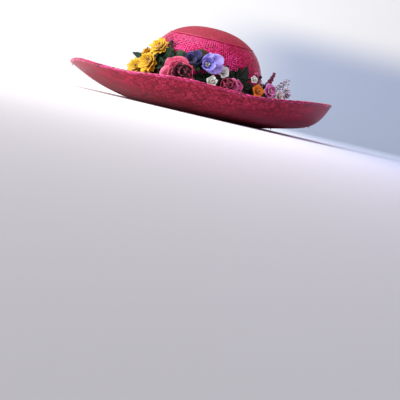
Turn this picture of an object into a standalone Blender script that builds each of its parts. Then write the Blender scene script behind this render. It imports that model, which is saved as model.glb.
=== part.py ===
"""Picture hat: a round crown and a wide upturned brim of raspberry straw, with a garland of cloth
flowers round the crown.

Metres, +Z up. The hat rests on the flat ring under its brim at z = 0. Its front faces -Y, and the
centre of the head opening is the origin. Angles go round the hat in degrees from +X, which is the
wearer's left, counter-clockwise from above, so the front is at -90.
"""

import math
from collections import namedtuple

import bmesh
import bpy
from mathutils import Quaternion, Vector

# Straw and clearances
STRAW = 0.002               # thickness of the woven straw
CLEARANCE = 0.0003          # between pieces that are sewn together

# Crown, measured outside
CROWN_LENGTH = 0.199        # front to back
CROWN_WIDTH = 0.174
SIDE_HEIGHT = 0.054         # straight wall below the dome
DOME_HEIGHT = 0.0821
DOME_FULLNESS = 2.3         # 2 makes the dome elliptical, more makes it squarer
CROWN_SEGMENTS = 40
SIDE_RINGS = 1
DOME_RINGS = 10

# Brim
BRIM_LENGTH = 0.438         # over the rolled edge, front to back
BRIM_WIDTH = 0.410
REST_RING = 0.010           # flat ring round the crown's foot
RIM_RISE = 0.062            # height of the rim where it is highest
BRIM_SEGMENTS = 56
BRIM_RINGS = 8
BRIM_CROWDING = 1.6         # above 1 the rings lie closer together towards the rim
EDGE_THICKNESS = 0.0046     # of the rolled edge

# Garland
GARLAND_DEPTH = 0.047       # how far its longest stalks stand out from the crown
ROSE_DIAMETER = 0.056
PANSY_DIAMETER = 0.031
BLOSSOM_DIAMETER = 0.020
BUD_DIAMETER = 0.008
SPRIG_DIAMETER = 0.0056     # over the small buds of a sprig
NECK_DIAMETER = 0.005
LEAF_LENGTH = 0.034
LEAF_WIDTH = 0.016
LEAF_THICKNESS = 0.001
SEAT_GAP = 0.0003           # from the crown's curve to what is sewn on it
BACK_BLOOMS = 8
UNDER_LEAVES = 10

# The brim round the hat. rise: the rim's height as a share of RIM_RISE. lift: the share of it that
# is a straight slope. curl: the power of the rest, so a high one turns up close to the rim.
BrimRow = namedtuple("BrimRow", "angle rise lift curl")
BRIM_ROWS = (
    BrimRow(-142, 0.575, 0.35, 2.1),
    BrimRow(-114, 0.690, 0.34, 2.3),
    BrimRow(-98, 0.655, 0.33, 2.5),
    BrimRow(-83, 0.640, 0.33, 2.7),
    BrimRow(-70, 0.715, 0.33, 3.0),
    BrimRow(-58, 0.775, 0.34, 3.2),
    BrimRow(-44, 0.755, 0.35, 3.4),
    BrimRow(-32, 0.735, 0.36, 3.8),
    BrimRow(-18, 0.800, 0.37, 4.5),
    BrimRow(-2, 0.910, 0.39, 5.5),
    BrimRow(18, 0.985, 0.41, 7.0),
    BrimRow(38, 1.000, 0.42, 8.0),
    BrimRow(70, 0.900, 0.41, 6.0),
    BrimRow(100, 0.790, 0.39, 4.2),
    BrimRow(130, 0.715, 0.37, 3.0),
    BrimRow(160, 0.650, 0.36, 2.5),
    BrimRow(190, 0.600, 0.35, 2.2),
)

# Forms of the flowers, from the neck to the middle. along: how far a ring lies in front of the
# flower's centre, and across: its radius, as shares of the flower's radius. lobe: how deep the
# petals cut into it.
FormRow = namedtuple("FormRow", "along across lobe")
ROSE_FORM = (
    FormRow(-0.42, 0.15, 0.00),
    FormRow(-0.30, 0.62, 0.02),
    FormRow(0.00, 0.97, 0.06),
    FormRow(0.08, 0.94, 0.06),
    FormRow(0.02, 0.66, 0.03),
    FormRow(0.36, 0.50, 0.03),
    FormRow(0.46, 0.20, 0.00),
)
PANSY_FORM = (
    FormRow(-0.30, 0.18, 0.00),
    FormRow(-0.10, 0.66, 0.08),
    FormRow(0.10, 0.94, 0.13),
    FormRow(0.20, 0.91, 0.13),
    FormRow(0.06, 0.45, 0.05),
    FormRow(0.10, 0.16, 0.00),
)
BLOSSOM_FORM = (
    FormRow(-0.40, 0.26, 0.00),
    FormRow(0.05, 0.92, 0.13),
    FormRow(0.22, 0.88, 0.13),
    FormRow(0.02, 0.30, 0.00),
)
Kind = namedtuple("Kind", "diameter form petals sides")
KINDS = {
    "rose": Kind(ROSE_DIAMETER, ROSE_FORM, 5, 15),
    "pansy": Kind(PANSY_DIAMETER, PANSY_FORM, 5, 15),
    "blossom": Kind(BLOSSOM_DIAMETER, BLOSSOM_FORM, 5, 10),
}

# Open flowers. height: share of the hat's height. stand: the centre's distance from the crown as a
# share of GARLAND_DEPTH. size: share of the kind's diameter. turn and tilt: degrees that the flower
# faces round the hat and upwards from straight out.
Bloom = namedtuple("Bloom", "name kind angle height stand size turn tilt colour")
BLOOMS = (
    Bloom("yellow_bloom_1", "pansy", -122, 0.370, 0.38, 0.94, 34, 16, "yellow"),
    Bloom("yellow_bloom_2", "pansy", -101.5, 0.440, 0.36, 1.08, 14, 6, "yellow"),
    Bloom("yellow_bloom_3", "pansy", -99, 0.620, 0.22, 0.98, 10, 20, "yellow"),
    Bloom("rose_pink", "rose", -71.5, 0.395, 0.48, 1.00, 12, 8, "rose_pink"),
    Bloom("violet_bloom", "pansy", -64.5, 0.580, 0.16, 0.86, 0, 8, "violet"),
    Bloom("pansy_blue", "pansy", -48.5, 0.560, 0.30, 1.10, -6, 6, "blue"),
    Bloom("white_bloom_1", "blossom", -46.5, 0.395, 0.42, 0.92, -6, 6, "white"),
    Bloom("white_bloom_2", "blossom", -36.5, 0.515, 0.20, 1.05, -4, 10, "white"),
    Bloom("rose_red", "rose", -32.5, 0.390, 0.43, 0.62, -14, 8, "rose_red"),
    Bloom("pink_bloom", "blossom", -21, 0.395, 0.26, 1.20, -8, 4, "pink"),
    Bloom("white_bloom_3", "blossom", -1, 0.515, 0.28, 0.66, -20, 12, "white"),
    Bloom("orange_bloom", "blossom", 2.5, 0.410, 0.42, 1.06, -28, 8, "orange"),
    Bloom("lavender_bloom", "pansy", 14.5, 0.440, 0.60, 0.80, -28, 10, "lavender"),
    Bloom("white_bloom_4", "blossom", 22, 0.410, 0.84, 0.90, -30, 6, "white"),
)
BACK_KINDS = (
    ("pansy", 1.20, "blue"),
    ("rose", 0.72, "rose_pink"),
    ("blossom", 1.50, "white"),
    ("pansy", 1.20, "yellow"),
    ("rose", 0.66, "rose_red"),
    ("pansy", 1.10, "lavender"),
    ("blossom", 1.50, "orange"),
    ("pansy", 0.95, "yellow"),
)
BACK_FROM, BACK_TO = 62, 204       # degrees, the stretch round the hat's back
BACK_HEIGHTS = (0.40, 0.52)
BACK_STAND = 0.28
BACK_TILT = 12

# Stalks. reach, rise and side: where the tip is from the seat, outwards, upwards and round the hat,
# as shares of GARLAND_DEPTH.
Stalk = namedtuple("Stalk", "name form angle height reach rise side size colour")
StalkRow = namedtuple("StalkRow", "along across")
BUD_STALK = (
    StalkRow(0.00, 0.30), StalkRow(0.40, 0.26), StalkRow(0.52, 0.85),
    StalkRow(0.72, 1.00), StalkRow(0.90, 0.66), StalkRow(1.00, 0.20),
)
SPIKE_STALK = (
    StalkRow(0.00, 0.26), StalkRow(0.30, 0.26), StalkRow(0.40, 0.90), StalkRow(0.56, 0.80),
    StalkRow(0.68, 0.90), StalkRow(0.82, 0.60), StalkRow(0.92, 0.62), StalkRow(1.00, 0.16),
)
SPRIG_STALK = (
    StalkRow(0.00, 0.34), StalkRow(0.42, 0.28), StalkRow(0.50, 0.88), StalkRow(0.58, 0.30),
    StalkRow(0.70, 0.28), StalkRow(0.77, 0.92), StalkRow(0.84, 0.30), StalkRow(0.93, 1.00),
    StalkRow(1.00, 0.40),
)
STALKS = (
    Stalk("mauve_bud", BUD_STALK, -90, 0.660, 0.14, 0.16, -0.02, 1.10, "mauve"),
    Stalk("pink_bud", BUD_STALK, 9, 0.520, 0.14, 0.26, -0.04, 0.95, "pink"),
    Stalk("plum_bud", BUD_STALK, 22, 0.480, 0.08, 0.44, 0.02, 0.72, "plum"),
    Stalk("bud_spike", SPIKE_STALK, 33, 0.420, 0.40, 0.64, -0.10, 0.90, "pink"),
    Stalk("sprig_1", SPRIG_STALK, 33, 0.350, 0.96, 0.46, 0.02, 1.00, "grey_mauve"),
    Stalk("sprig_2", SPRIG_STALK, 40, 0.400, 0.84, 0.60, 0.10, 1.00, "grey_mauve"),
    Stalk("sprig_3", SPRIG_STALK, 46, 0.340, 1.00, 0.32, 0.08, 1.00, "grey_mauve"),
)
STALK_SIDES = 6
STALK_OUTWARD, STALK_UPWARD = 0.7, 1.6      # powers of the way along, so a stalk bends upwards
STALK_TIP = 1.04                            # where its point lies, as a share of the way along

# Leaves lie along the crown. heading: degrees from round the hat towards straight up. lift: how far
# the tip stands out, as a share of GARLAND_DEPTH.
Leaf = namedtuple("Leaf", "name angle height heading length width lift colour")
LEAVES = (
    Leaf("leaf_1", -125, 0.480, 174, 0.90, 0.62, 0.60, "dark_green"),
    Leaf("leaf_2", -129, 0.400, 150, 0.60, 0.80, 0.20, "dark_green"),
    Leaf("leaf_3", -82, 0.440, 172, 0.74, 1.20, 0.10, "dark_green"),
    Leaf("leaf_4", -61, 0.405, -2, 0.60, 1.00, 0.14, "dark_green"),
    Leaf("leaf_5", -16, 0.495, 158, 0.60, 0.80, 0.08, "dark_green"),
    Leaf("leaf_6", -13, 0.440, 68, 0.90, 1.20, 0.06, "dark_green"),
    Leaf("leaf_7", -14, 0.360, 20, 0.62, 1.10, 0.12, "dark_green"),
    Leaf("leaf_8", -116, 0.345, 0, 0.74, 1.00, 0.10, "dark_green"),
    Leaf("olive_leaf_1", -86, 0.580, 6, 0.84, 1.05, 0.06, "olive"),
    Leaf("olive_leaf_2", -68, 0.660, 2, 0.84, 0.84, 0.03, "olive_brown"),
    Leaf("olive_leaf_3", -89, 0.540, 72, 0.50, 0.84, 0.06, "olive"),
)
BACK_LEAF_HEADINGS = (60, 120)
BACK_LEAF_LENGTH, BACK_LEAF_WIDTH, BACK_LEAF_LIFT = 0.8, 0.9, 0.10
UNDER_LEAF_HEIGHT = 0.20
UNDER_LEAF_HEADING = -25
UNDER_LEAF_LIFT = 0.40
# along and width: shares of the leaf's length and width
LeafRow = namedtuple("LeafRow", "along width")
LEAF_OUTLINE = (
    LeafRow(0.00, 0.16), LeafRow(0.18, 0.66), LeafRow(0.42, 1.00),
    LeafRow(0.68, 0.84), LeafRow(0.88, 0.42), LeafRow(1.00, 0.06),
)
LEAF_FOLD = 0.25            # how far a leaf's edges rise, as a share of half its width
LEAF_BEND = 1.5             # above 1 a leaf stands away from the crown mostly at its tip

# name: base colour and roughness
COLOURS = {
    "crown_straw": ((0.62, 0.02, 0.13), 0.35),
    "brim_straw": ((0.50, 0.02, 0.09), 0.42),
    "edge_straw": ((0.58, 0.03, 0.13), 0.40),
    "rose_pink": ((0.80, 0.12, 0.30), 0.75),
    "rose_red": ((0.40, 0.02, 0.09), 0.75),
    "pink": ((0.75, 0.13, 0.38), 0.75),
    "yellow": ((0.85, 0.55, 0.05), 0.75),
    "orange": ((0.85, 0.28, 0.03), 0.75),
    "blue": ((0.22, 0.25, 0.62), 0.75),
    "violet": ((0.25, 0.18, 0.55), 0.75),
    "lavender": ((0.50, 0.38, 0.72), 0.75),
    "white": ((0.80, 0.84, 0.82), 0.75),
    "mauve": ((0.28, 0.10, 0.14), 0.75),
    "plum": ((0.20, 0.04, 0.08), 0.70),
    "grey_mauve": ((0.48, 0.42, 0.46), 0.75),
    "dark_green": ((0.02, 0.07, 0.03), 0.60),
    "olive": ((0.25, 0.27, 0.10), 0.65),
    "olive_brown": ((0.25, 0.16, 0.06), 0.65),
}

CROWN_FOOT = STRAW + CLEARANCE
HAT_HEIGHT = CROWN_FOOT + SIDE_HEIGHT + DOME_HEIGHT
EDGE_SEAT = EDGE_THICKNESS / 2 + 2 * CLEARANCE      # from the brim's end to the rolled edge's middle
UP = Vector((0, 0, 1))
CREASE_ANGLE = math.radians(50)             # faces that meet more sharply keep a hard edge
ANGLE_STEP, HEIGHT_STEP = 0.5, 0.0005       # degrees and metres, for the slope of the crown's wall
SHARE_STEP = 0.02                           # for the direction of a curve


def clear_scene():
    for item in list(bpy.data.objects):
        bpy.data.objects.remove(item)


def material(colour):
    """The Principled material of one colour, made once."""
    found = bpy.data.materials.get(colour)
    if found:
        return found
    base, roughness = COLOURS[colour]
    made = bpy.data.materials.new(colour)
    made.use_nodes = True
    shader = made.node_tree.nodes["Principled BSDF"]
    shader.inputs["Base Color"].default_value = (*base, 1)
    shader.inputs["Roughness"].default_value = roughness
    shader.inputs["Metallic"].default_value = 0
    return made


def piece(name, mesh, colour, collection):
    item = bpy.data.objects.new(name, mesh)
    collection.objects.link(item)
    mesh.materials.append(material(colour))
    mesh.shade_smooth()
    mesh.set_sharp_from_angle(angle=CREASE_ANGLE)
    return item


def add_thickness(item, thickness, offset):
    solidify = item.modifiers.new("straw", "SOLIDIFY")
    solidify.thickness = thickness
    solidify.offset = offset
    solidify.use_even_offset = True


def mesh_from_rings(name, rings, low_tip=None, high_tip=None, closed=True, cap_low=False):
    """Joins rings of points by quads, and closes an end with a fan to a tip or with a flat cap."""
    form = bmesh.new()
    rows = [[form.verts.new(point) for point in ring] for ring in rings]
    count = len(rows[0])
    steps = count if closed else count - 1
    for lower, upper in zip(rows, rows[1:]):
        for i in range(steps):
            j = (i + 1) % count
            form.faces.new((lower[i], lower[j], upper[j], upper[i]))
    if high_tip is not None:
        tip = form.verts.new(high_tip)
        for i in range(steps):
            form.faces.new((rows[-1][i], rows[-1][(i + 1) % count], tip))
    if low_tip is not None:
        tip = form.verts.new(low_tip)
        for i in range(steps):
            form.faces.new((rows[0][(i + 1) % count], rows[0][i], tip))
    if cap_low:
        form.faces.new(rows[0][::-1])
    mesh = bpy.data.meshes.new(name)
    form.to_mesh(mesh)
    form.free()
    return mesh


def ellipse_radius(degrees, length, width):
    """Distance from the centre of an oval to its outline, at an angle round the hat."""
    angle = math.radians(degrees)
    return 1 / math.hypot(math.cos(angle) / (width / 2), math.sin(angle) / (length / 2))


def polar(degrees, radius, height):
    angle = math.radians(degrees)
    return Vector((radius * math.cos(angle), radius * math.sin(angle), height))


# Crown

def dome_share(height):
    """The crown's radius at a height, as a share of its radius at the foot."""
    above = (height - CROWN_FOOT - SIDE_HEIGHT) / DOME_HEIGHT
    if above <= 0:
        return 1.0
    return max(0.0, 1 - min(above, 1.0) ** DOME_FULLNESS) ** (1 / DOME_FULLNESS)


def crown_point(degrees, height):
    radius = ellipse_radius(degrees, CROWN_LENGTH, CROWN_WIDTH) * dome_share(height)
    return polar(degrees, radius, height)


def build_crown(collection):
    heights = [CROWN_FOOT + SIDE_HEIGHT * k / SIDE_RINGS for k in range(SIDE_RINGS)]
    for k in range(DOME_RINGS):
        climb = math.radians(90 * k / DOME_RINGS)
        heights.append(CROWN_FOOT + SIDE_HEIGHT + DOME_HEIGHT * math.sin(climb) ** (2 / DOME_FULLNESS))
    angles = [360 * k / CROWN_SEGMENTS for k in range(CROWN_SEGMENTS)]
    rings = [[crown_point(angle, height) for angle in angles] for height in heights]
    mesh = mesh_from_rings("crown", rings, high_tip=Vector((0, 0, HAT_HEIGHT)))
    crown = piece("crown", mesh, "crown_straw", collection)
    add_thickness(crown, STRAW, -1)


# Brim

def brim_row(degrees):
    """The brim's rise, lift and curl at an angle, on a smooth curve through BRIM_ROWS."""
    first = BRIM_ROWS[0].angle
    angle = first + (degrees - first) % 360
    count = len(BRIM_ROWS)

    def row(i):
        found = BRIM_ROWS[i % count]
        return found._replace(angle=found.angle + 360 * (i // count))

    here = max(i for i in range(count) if row(i).angle <= angle)
    before, low, high, after = (row(here + k) for k in (-1, 0, 1, 2))
    span = high.angle - low.angle
    t = (angle - low.angle) / span
    values = []
    for column in (1, 2, 3):
        slope_low = (high[column] - before[column]) / (high.angle - before.angle) * span
        slope_high = (after[column] - low[column]) / (after.angle - low.angle) * span
        values.append(
            low[column] * (2 * t**3 - 3 * t**2 + 1) + slope_low * (t**3 - 2 * t**2 + t)
            + high[column] * (3 * t**2 - 2 * t**3) + slope_high * (t**3 - t**2))
    return BrimRow(degrees, *values)


def brim_point(degrees, share):
    """The brim's underside, at a share of the way from its flat ring to its rim."""
    row = brim_row(degrees)
    inner = ellipse_radius(degrees, CROWN_LENGTH, CROWN_WIDTH) + REST_RING
    outline = ellipse_radius(degrees, BRIM_LENGTH, BRIM_WIDTH)
    rise = (RIM_RISE - EDGE_THICKNESS) * row.rise
    slope = math.atan2(rise * (row.lift + (1 - row.lift) * row.curl), outline - inner)
    outer = outline - EDGE_THICKNESS / 2 - EDGE_SEAT * math.cos(slope) + STRAW / 2 * math.sin(slope)
    height = rise * (row.lift * share + (1 - row.lift) * share ** row.curl)
    return polar(degrees, inner + (outer - inner) * share, height)


def build_brim(collection):
    angles = [-360 * k / BRIM_SEGMENTS for k in range(BRIM_SEGMENTS)]
    opening_length = CROWN_LENGTH - 2 * STRAW
    opening_width = CROWN_WIDTH - 2 * STRAW
    rings = [[polar(angle, ellipse_radius(angle, opening_length, opening_width), 0)
              for angle in angles]]
    for k in range(BRIM_RINGS + 1):
        share = 1 - (1 - k / BRIM_RINGS) ** BRIM_CROWDING
        rings.append([brim_point(angle, share) for angle in angles])
    brim = piece("brim", mesh_from_rings("brim", rings[::-1]), "brim_straw", collection)
    add_thickness(brim, STRAW, -1)


def build_brim_edge(collection):
    """The rolled edge is a closed tube that follows the rim, just clear of the brim's end."""
    radius = EDGE_THICKNESS / 2
    curve = bpy.data.curves.new("brim_edge", "CURVE")
    curve.dimensions = "3D"
    curve.bevel_depth = radius
    curve.bevel_resolution = 1
    spline = curve.splines.new("POLY")
    spline.points.add(BRIM_SEGMENTS - 1)
    spline.use_cyclic_u = True
    for k, point in enumerate(spline.points):
        angle = 360 * k / BRIM_SEGMENTS
        end = brim_point(angle, 1.0)
        outward = (end - brim_point(angle, 1 - SHARE_STEP)).normalized()
        inward = (UP - outward * outward.z).normalized()
        place = end + inward * STRAW / 2 + outward * EDGE_SEAT
        point.co = (*place, 1)
    item = bpy.data.objects.new("brim_edge", curve)
    collection.objects.link(item)
    curve.materials.append(material("edge_straw"))


# Garland

def wall_frame(degrees, height):
    """The crown's surface at an angle and height: the point, straight out, round the hat, and up."""
    here = crown_point(degrees, height)
    across = crown_point(degrees + ANGLE_STEP, height) - crown_point(degrees - ANGLE_STEP, height)
    climb = crown_point(degrees, height + HEIGHT_STEP) - crown_point(degrees, height - HEIGHT_STEP)
    round_way = across.normalized()
    out = round_way.cross(climb).normalized()
    return here, out, round_way, out.cross(round_way).normalized()


def ring_points(centre, facing, radius, sides, lobe=0.0, petals=0):
    """Points round a centre in the plane square to facing, drawn in between the petals."""
    right = UP.cross(facing).normalized()
    top = facing.cross(right)
    points = []
    for k in range(sides):
        angle = 2 * math.pi * k / sides
        reach = radius * (1 + lobe * math.sin(petals * angle - math.pi / 6)) if petals else radius
        points.append(centre + right * reach * math.cos(angle) + top * reach * math.sin(angle))
    return points


def build_bloom(bloom, collection):
    """A neck that starts on the crown, and a cup of petals at its end that may face another way."""
    kind = KINDS[bloom.kind]
    radius = kind.diameter * bloom.size / 2
    seat, out, _, _ = wall_frame(bloom.angle, HAT_HEIGHT * bloom.height)
    stand = GARLAND_DEPTH * bloom.stand
    centre = seat + out * stand
    facing = Quaternion(UP, math.radians(bloom.turn)) @ out
    facing = Quaternion(UP.cross(facing).normalized(), math.radians(-bloom.tilt)) @ facing
    neck = NECK_DIAMETER / 2
    rings = [ring_points(seat + out * SEAT_GAP, out, neck, kind.sides)]
    for row in kind.form:
        ring_centre = centre + facing * radius * row.along
        rings.append(ring_points(
            ring_centre, facing, radius * row.across, kind.sides, row.lobe, kind.petals))
    middle = centre + facing * radius * kind.form[-1].along
    mesh = mesh_from_rings(bloom.name, rings, high_tip=middle, cap_low=True)
    piece(bloom.name, mesh, bloom.colour, collection)


def build_stalk(stalk, collection):
    """A thin stem that bends up as it leaves the crown, and swells into its buds."""
    diameter = SPRIG_DIAMETER if stalk.form is SPRIG_STALK else BUD_DIAMETER
    radius = diameter * stalk.size / 2
    seat, out, round_way, up = wall_frame(stalk.angle, HAT_HEIGHT * stalk.height)

    def place(share):
        offset = (out * stalk.reach * share ** STALK_OUTWARD + up * stalk.rise * share ** STALK_UPWARD
                  + round_way * stalk.side * share)
        return seat + out * SEAT_GAP + offset * GARLAND_DEPTH

    rings = []
    for row in stalk.form:
        facing = (place(row.along + SHARE_STEP) - place(max(0.0, row.along - SHARE_STEP))).normalized()
        if row.along == 0:
            facing = out
        top = facing.cross(round_way).normalized()
        turns = [2 * math.pi * k / STALK_SIDES for k in range(STALK_SIDES)]
        rings.append([
            place(row.along)
            + (round_way * math.cos(turn) + top * math.sin(turn)) * radius * row.across
            for turn in turns])
    mesh = mesh_from_rings(stalk.name, rings, high_tip=place(STALK_TIP), cap_low=True)
    piece(stalk.name, mesh, stalk.colour, collection)


def build_leaf(leaf, collection):
    """A leaf wraps round the crown from its stem end, and its tip and edges stand away from it."""
    length, width = LEAF_LENGTH * leaf.length, LEAF_WIDTH * leaf.width
    heading = math.radians(leaf.heading)
    height = HAT_HEIGHT * leaf.height
    radius = ellipse_radius(leaf.angle, CROWN_LENGTH, CROWN_WIDTH) * dome_share(height)
    rings = []
    for row in LEAF_OUTLINE:
        section = []
        for side in (-1, 0, 1):
            along = length * row.along
            across = width / 2 * row.width * side
            round_way = along * math.cos(heading) - across * math.sin(heading)
            climb = along * math.sin(heading) + across * math.cos(heading)
            seat, out, _, _ = wall_frame(
                leaf.angle + math.degrees(round_way / radius), height + climb)
            stand = (SEAT_GAP + LEAF_THICKNESS / 2 + LEAF_FOLD * abs(across)
                     + GARLAND_DEPTH * leaf.lift * row.along ** LEAF_BEND)
            section.append(seat + out * stand)
        rings.append(section)
    mesh = mesh_from_rings(leaf.name, rings, closed=False)
    item = piece(leaf.name, mesh, leaf.colour, collection)
    add_thickness(item, LEAF_THICKNESS, 0)


def back_garland():
    """Repeats of the same flowers and leaves round the hat's back, and the leaves below them all."""
    blooms, leaves = [], []
    step = (BACK_TO - BACK_FROM) / (BACK_BLOOMS - 1)
    for k in range(BACK_BLOOMS):
        kind, size, colour = BACK_KINDS[k % len(BACK_KINDS)]
        angle = BACK_FROM + step * k
        height = BACK_HEIGHTS[k % 2]
        blooms.append(Bloom(
            f"back_bloom_{k + 1}", kind, angle, height, BACK_STAND, size, 0, BACK_TILT, colour))
        if k + 1 < BACK_BLOOMS:
            leaves.append(Leaf(
                f"back_leaf_{k + 1}", angle + step / 2, BACK_HEIGHTS[1],
                BACK_LEAF_HEADINGS[k % 2], BACK_LEAF_LENGTH, BACK_LEAF_WIDTH, BACK_LEAF_LIFT,
                "dark_green"))
    for k in range(UNDER_LEAVES):
        leaves.append(Leaf(
            f"under_leaf_{k + 1}", 360 * k / UNDER_LEAVES, UNDER_LEAF_HEIGHT,
            UNDER_LEAF_HEADING, 1.0, 1.0, UNDER_LEAF_LIFT, "dark_green"))
    return blooms, leaves


def main():
    clear_scene()
    collection = bpy.data.collections.new("picture_hat")
    bpy.context.scene.collection.children.link(collection)
    build_crown(collection)
    build_brim(collection)
    build_brim_edge(collection)
    back_blooms, back_leaves = back_garland()
    for bloom in (*BLOOMS, *back_blooms):
        build_bloom(bloom, collection)
    for stalk in STALKS:
        build_stalk(stalk, collection)
    for leaf in (*LEAVES, *back_leaves):
        build_leaf(leaf, collection)


main()
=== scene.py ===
"""Picture hat: raspberry straw with a garland of cloth flowers, finished around its solid model.

Metres, +Z up. The hat lies on the floor at z = 0 with its front towards -Y. Angles go round it in
degrees from +X, the wearer's left, counter-clockwise from above.
"""

import math
import random
from collections import namedtuple

import bmesh
import bpy
import numpy as np
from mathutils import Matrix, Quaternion, Vector


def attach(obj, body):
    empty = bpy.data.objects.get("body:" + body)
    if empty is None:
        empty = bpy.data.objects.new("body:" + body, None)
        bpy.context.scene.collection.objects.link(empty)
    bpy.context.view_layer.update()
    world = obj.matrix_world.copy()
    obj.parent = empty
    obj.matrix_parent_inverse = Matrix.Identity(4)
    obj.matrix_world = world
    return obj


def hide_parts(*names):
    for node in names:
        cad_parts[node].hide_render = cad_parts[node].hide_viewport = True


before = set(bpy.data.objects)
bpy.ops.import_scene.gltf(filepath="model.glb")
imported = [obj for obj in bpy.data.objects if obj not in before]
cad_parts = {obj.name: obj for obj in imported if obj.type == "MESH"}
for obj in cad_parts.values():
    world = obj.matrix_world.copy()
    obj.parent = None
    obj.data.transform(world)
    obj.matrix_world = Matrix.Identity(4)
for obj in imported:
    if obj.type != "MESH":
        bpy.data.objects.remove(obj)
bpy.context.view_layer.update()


# Crown
# A round crown without dents, plaited from flat glossy straw about 4 mm wide and pulled over a
# block while wet. The round tip is a piece of its own, of duller and finer straw, sewn in on a cord.

STRAW = 0.002               # thickness of the woven straw
CLEARANCE = 0.0003          # between pieces that are sewn together
CROWN_LENGTH = 0.199
CROWN_WIDTH = 0.174
SIDE_HEIGHT = 0.054
DOME_HEIGHT = 0.0821
DOME_FULLNESS = 2.3
CROWN_FOOT = STRAW + CLEARANCE
HAT_HEIGHT = CROWN_FOOT + SIDE_HEIGHT + DOME_HEIGHT
CROWN_STRAWS = 140          # straws that cross the wall, round the hat
CROWN_RELIEF = 0.00042
TIP_SHARE = 0.72            # the tip's radius as a share of the crown's
TIP_PITCH = 0.0031          # from one straw of the tip to the next
TIP_RELIEF = 0.00026
INNER_ROWS = 24
SIDE_STEPS, DOME_STEPS, DOME_CROWDING = 60, 240, 0.9    # of the profile that the rows are spaced on
CROSSING = 3                # points across each crossing of two straws, each way
LONG_HALF, SHORT_HALF, EDGE_HALF = 0.37, 0.17, 0.26     # shares of a crossing's width
RIDGE, FLANK, HOLE = 1.0, 0.05, -0.7                    # heights as shares of the relief
SEAM_RADIUS = 0.0012
SEAM_POINTS, SEAM_SIDES = 260, 6
SEAM_SINK = 0.0005          # how far the cord lies below the edge of the tip
SEAM_WRAP = 4               # points along the cord from one wrap of its thread to the next
SEAM_LEAST, SEAM_SWELL = 0.75, 0.35                     # shares of its radius


def ellipse_radius(degrees, length, width):
    """Distance from the centre of an oval to its outline, at an angle round the hat."""
    angle = np.radians(degrees)
    return 1 / np.hypot(np.cos(angle) / (width / 2), np.sin(angle) / (length / 2))


def polar(degrees, radius, height):
    angle = np.radians(degrees)
    return np.stack(np.broadcast_arrays(radius * np.cos(angle), radius * np.sin(angle), height), -1)


def dome_share(height):
    """The crown's radius at a height, as a share of its radius at the foot."""
    above = np.clip((height - CROWN_FOOT - SIDE_HEIGHT) / DOME_HEIGHT, 0, 1)
    return (1 - above ** DOME_FULLNESS) ** (1 / DOME_FULLNESS)


def dome_height(share):
    """The other way round: the height at which the dome has shrunk to a share of its radius."""
    above = (1 - np.clip(share, 0, 1) ** DOME_FULLNESS) ** (1 / DOME_FULLNESS)
    return CROWN_FOOT + SIDE_HEIGHT + DOME_HEIGHT * above


def crown_point(degrees, height):
    radius = ellipse_radius(degrees, CROWN_LENGTH, CROWN_WIDTH) * dome_share(height)
    return polar(degrees, radius, height)


def lattice_faces(rows, columns, closed_round=True, closed_along=False):
    """Quads between rows of points, and each corner's place in the lattice."""
    column, row = np.meshgrid(
        np.arange(columns - (not closed_round)), np.arange(rows - (not closed_along)))
    column, row = column.ravel(), row.ravel()
    corners = np.stack([
        np.stack([column + x, row + y], 1) for x, y in ((0, 0), (1, 0), (1, 1), (0, 1))], 1)
    faces = corners[..., 1] % rows * columns + corners[..., 0] % columns
    return faces, corners.astype(float)


def lattice_normals(points, closed_round=True):
    """Unit normals of a lattice of points, right-handed from its columns to its rows."""
    if closed_round:
        across = np.roll(points, -1, 1) - np.roll(points, 1, 1)
    else:
        across = np.gradient(points, axis=1)
    normals = np.cross(across, np.gradient(points, axis=0))
    return normals / np.maximum(np.linalg.norm(normals, axis=-1, keepdims=True), 1e-12)


def make_piece(name, points, faces, corners, tones=None):
    """A smooth mesh that rides on the hat. Its UV map holds each corner's place in the weave or petal."""
    mesh = bpy.data.meshes.new(name)
    mesh.from_pydata(np.reshape(points, (-1, 3)).tolist(), [], [list(face) for face in faces])
    mesh.uv_layers.new(name="surface").data.foreach_set("uv", np.ravel(corners))
    if tones is not None:
        mesh.attributes.new("tone", "FLOAT", "POINT").data.foreach_set("value", tones)
    mesh.shade_smooth()
    made = bpy.data.objects.new(name, mesh)
    bpy.context.scene.collection.objects.link(made)
    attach(made, "root")
    return made


def woven_lattice(rows, columns, relief):
    """Shifts, in shares of a crossing, and heights of the three by three points of every crossing.

    Each crossing shows one straw, in turn one that runs round and one that runs up, so that its
    ridge is long in that direction.
    """
    row, column = np.meshgrid(np.arange(rows), np.arange(columns), indexing="ij")
    inner_row, inner_column = row % CROSSING, column % CROSSING
    runs_round = (row // CROSSING + column // CROSSING) % 2 == 0
    both = (inner_row > 0) & (inner_column > 0)
    either = (inner_row > 0) | (inner_column > 0)
    half_round = np.where(both, np.where(runs_round, LONG_HALF, SHORT_HALF), EDGE_HALF)
    half_up = np.where(both, np.where(runs_round, SHORT_HALF, LONG_HALF), EDGE_HALF)
    place = np.array((0.0, -1.0, 1.0))
    centre = np.array((0.0, 0.5, 0.5))
    u = column // CROSSING + centre[inner_column] + place[inner_column] * half_round
    v = row // CROSSING + centre[inner_row] + place[inner_row] * half_up
    return u, v, np.where(both, RIDGE, np.where(either, FLANK, HOLE)) * relief


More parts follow.
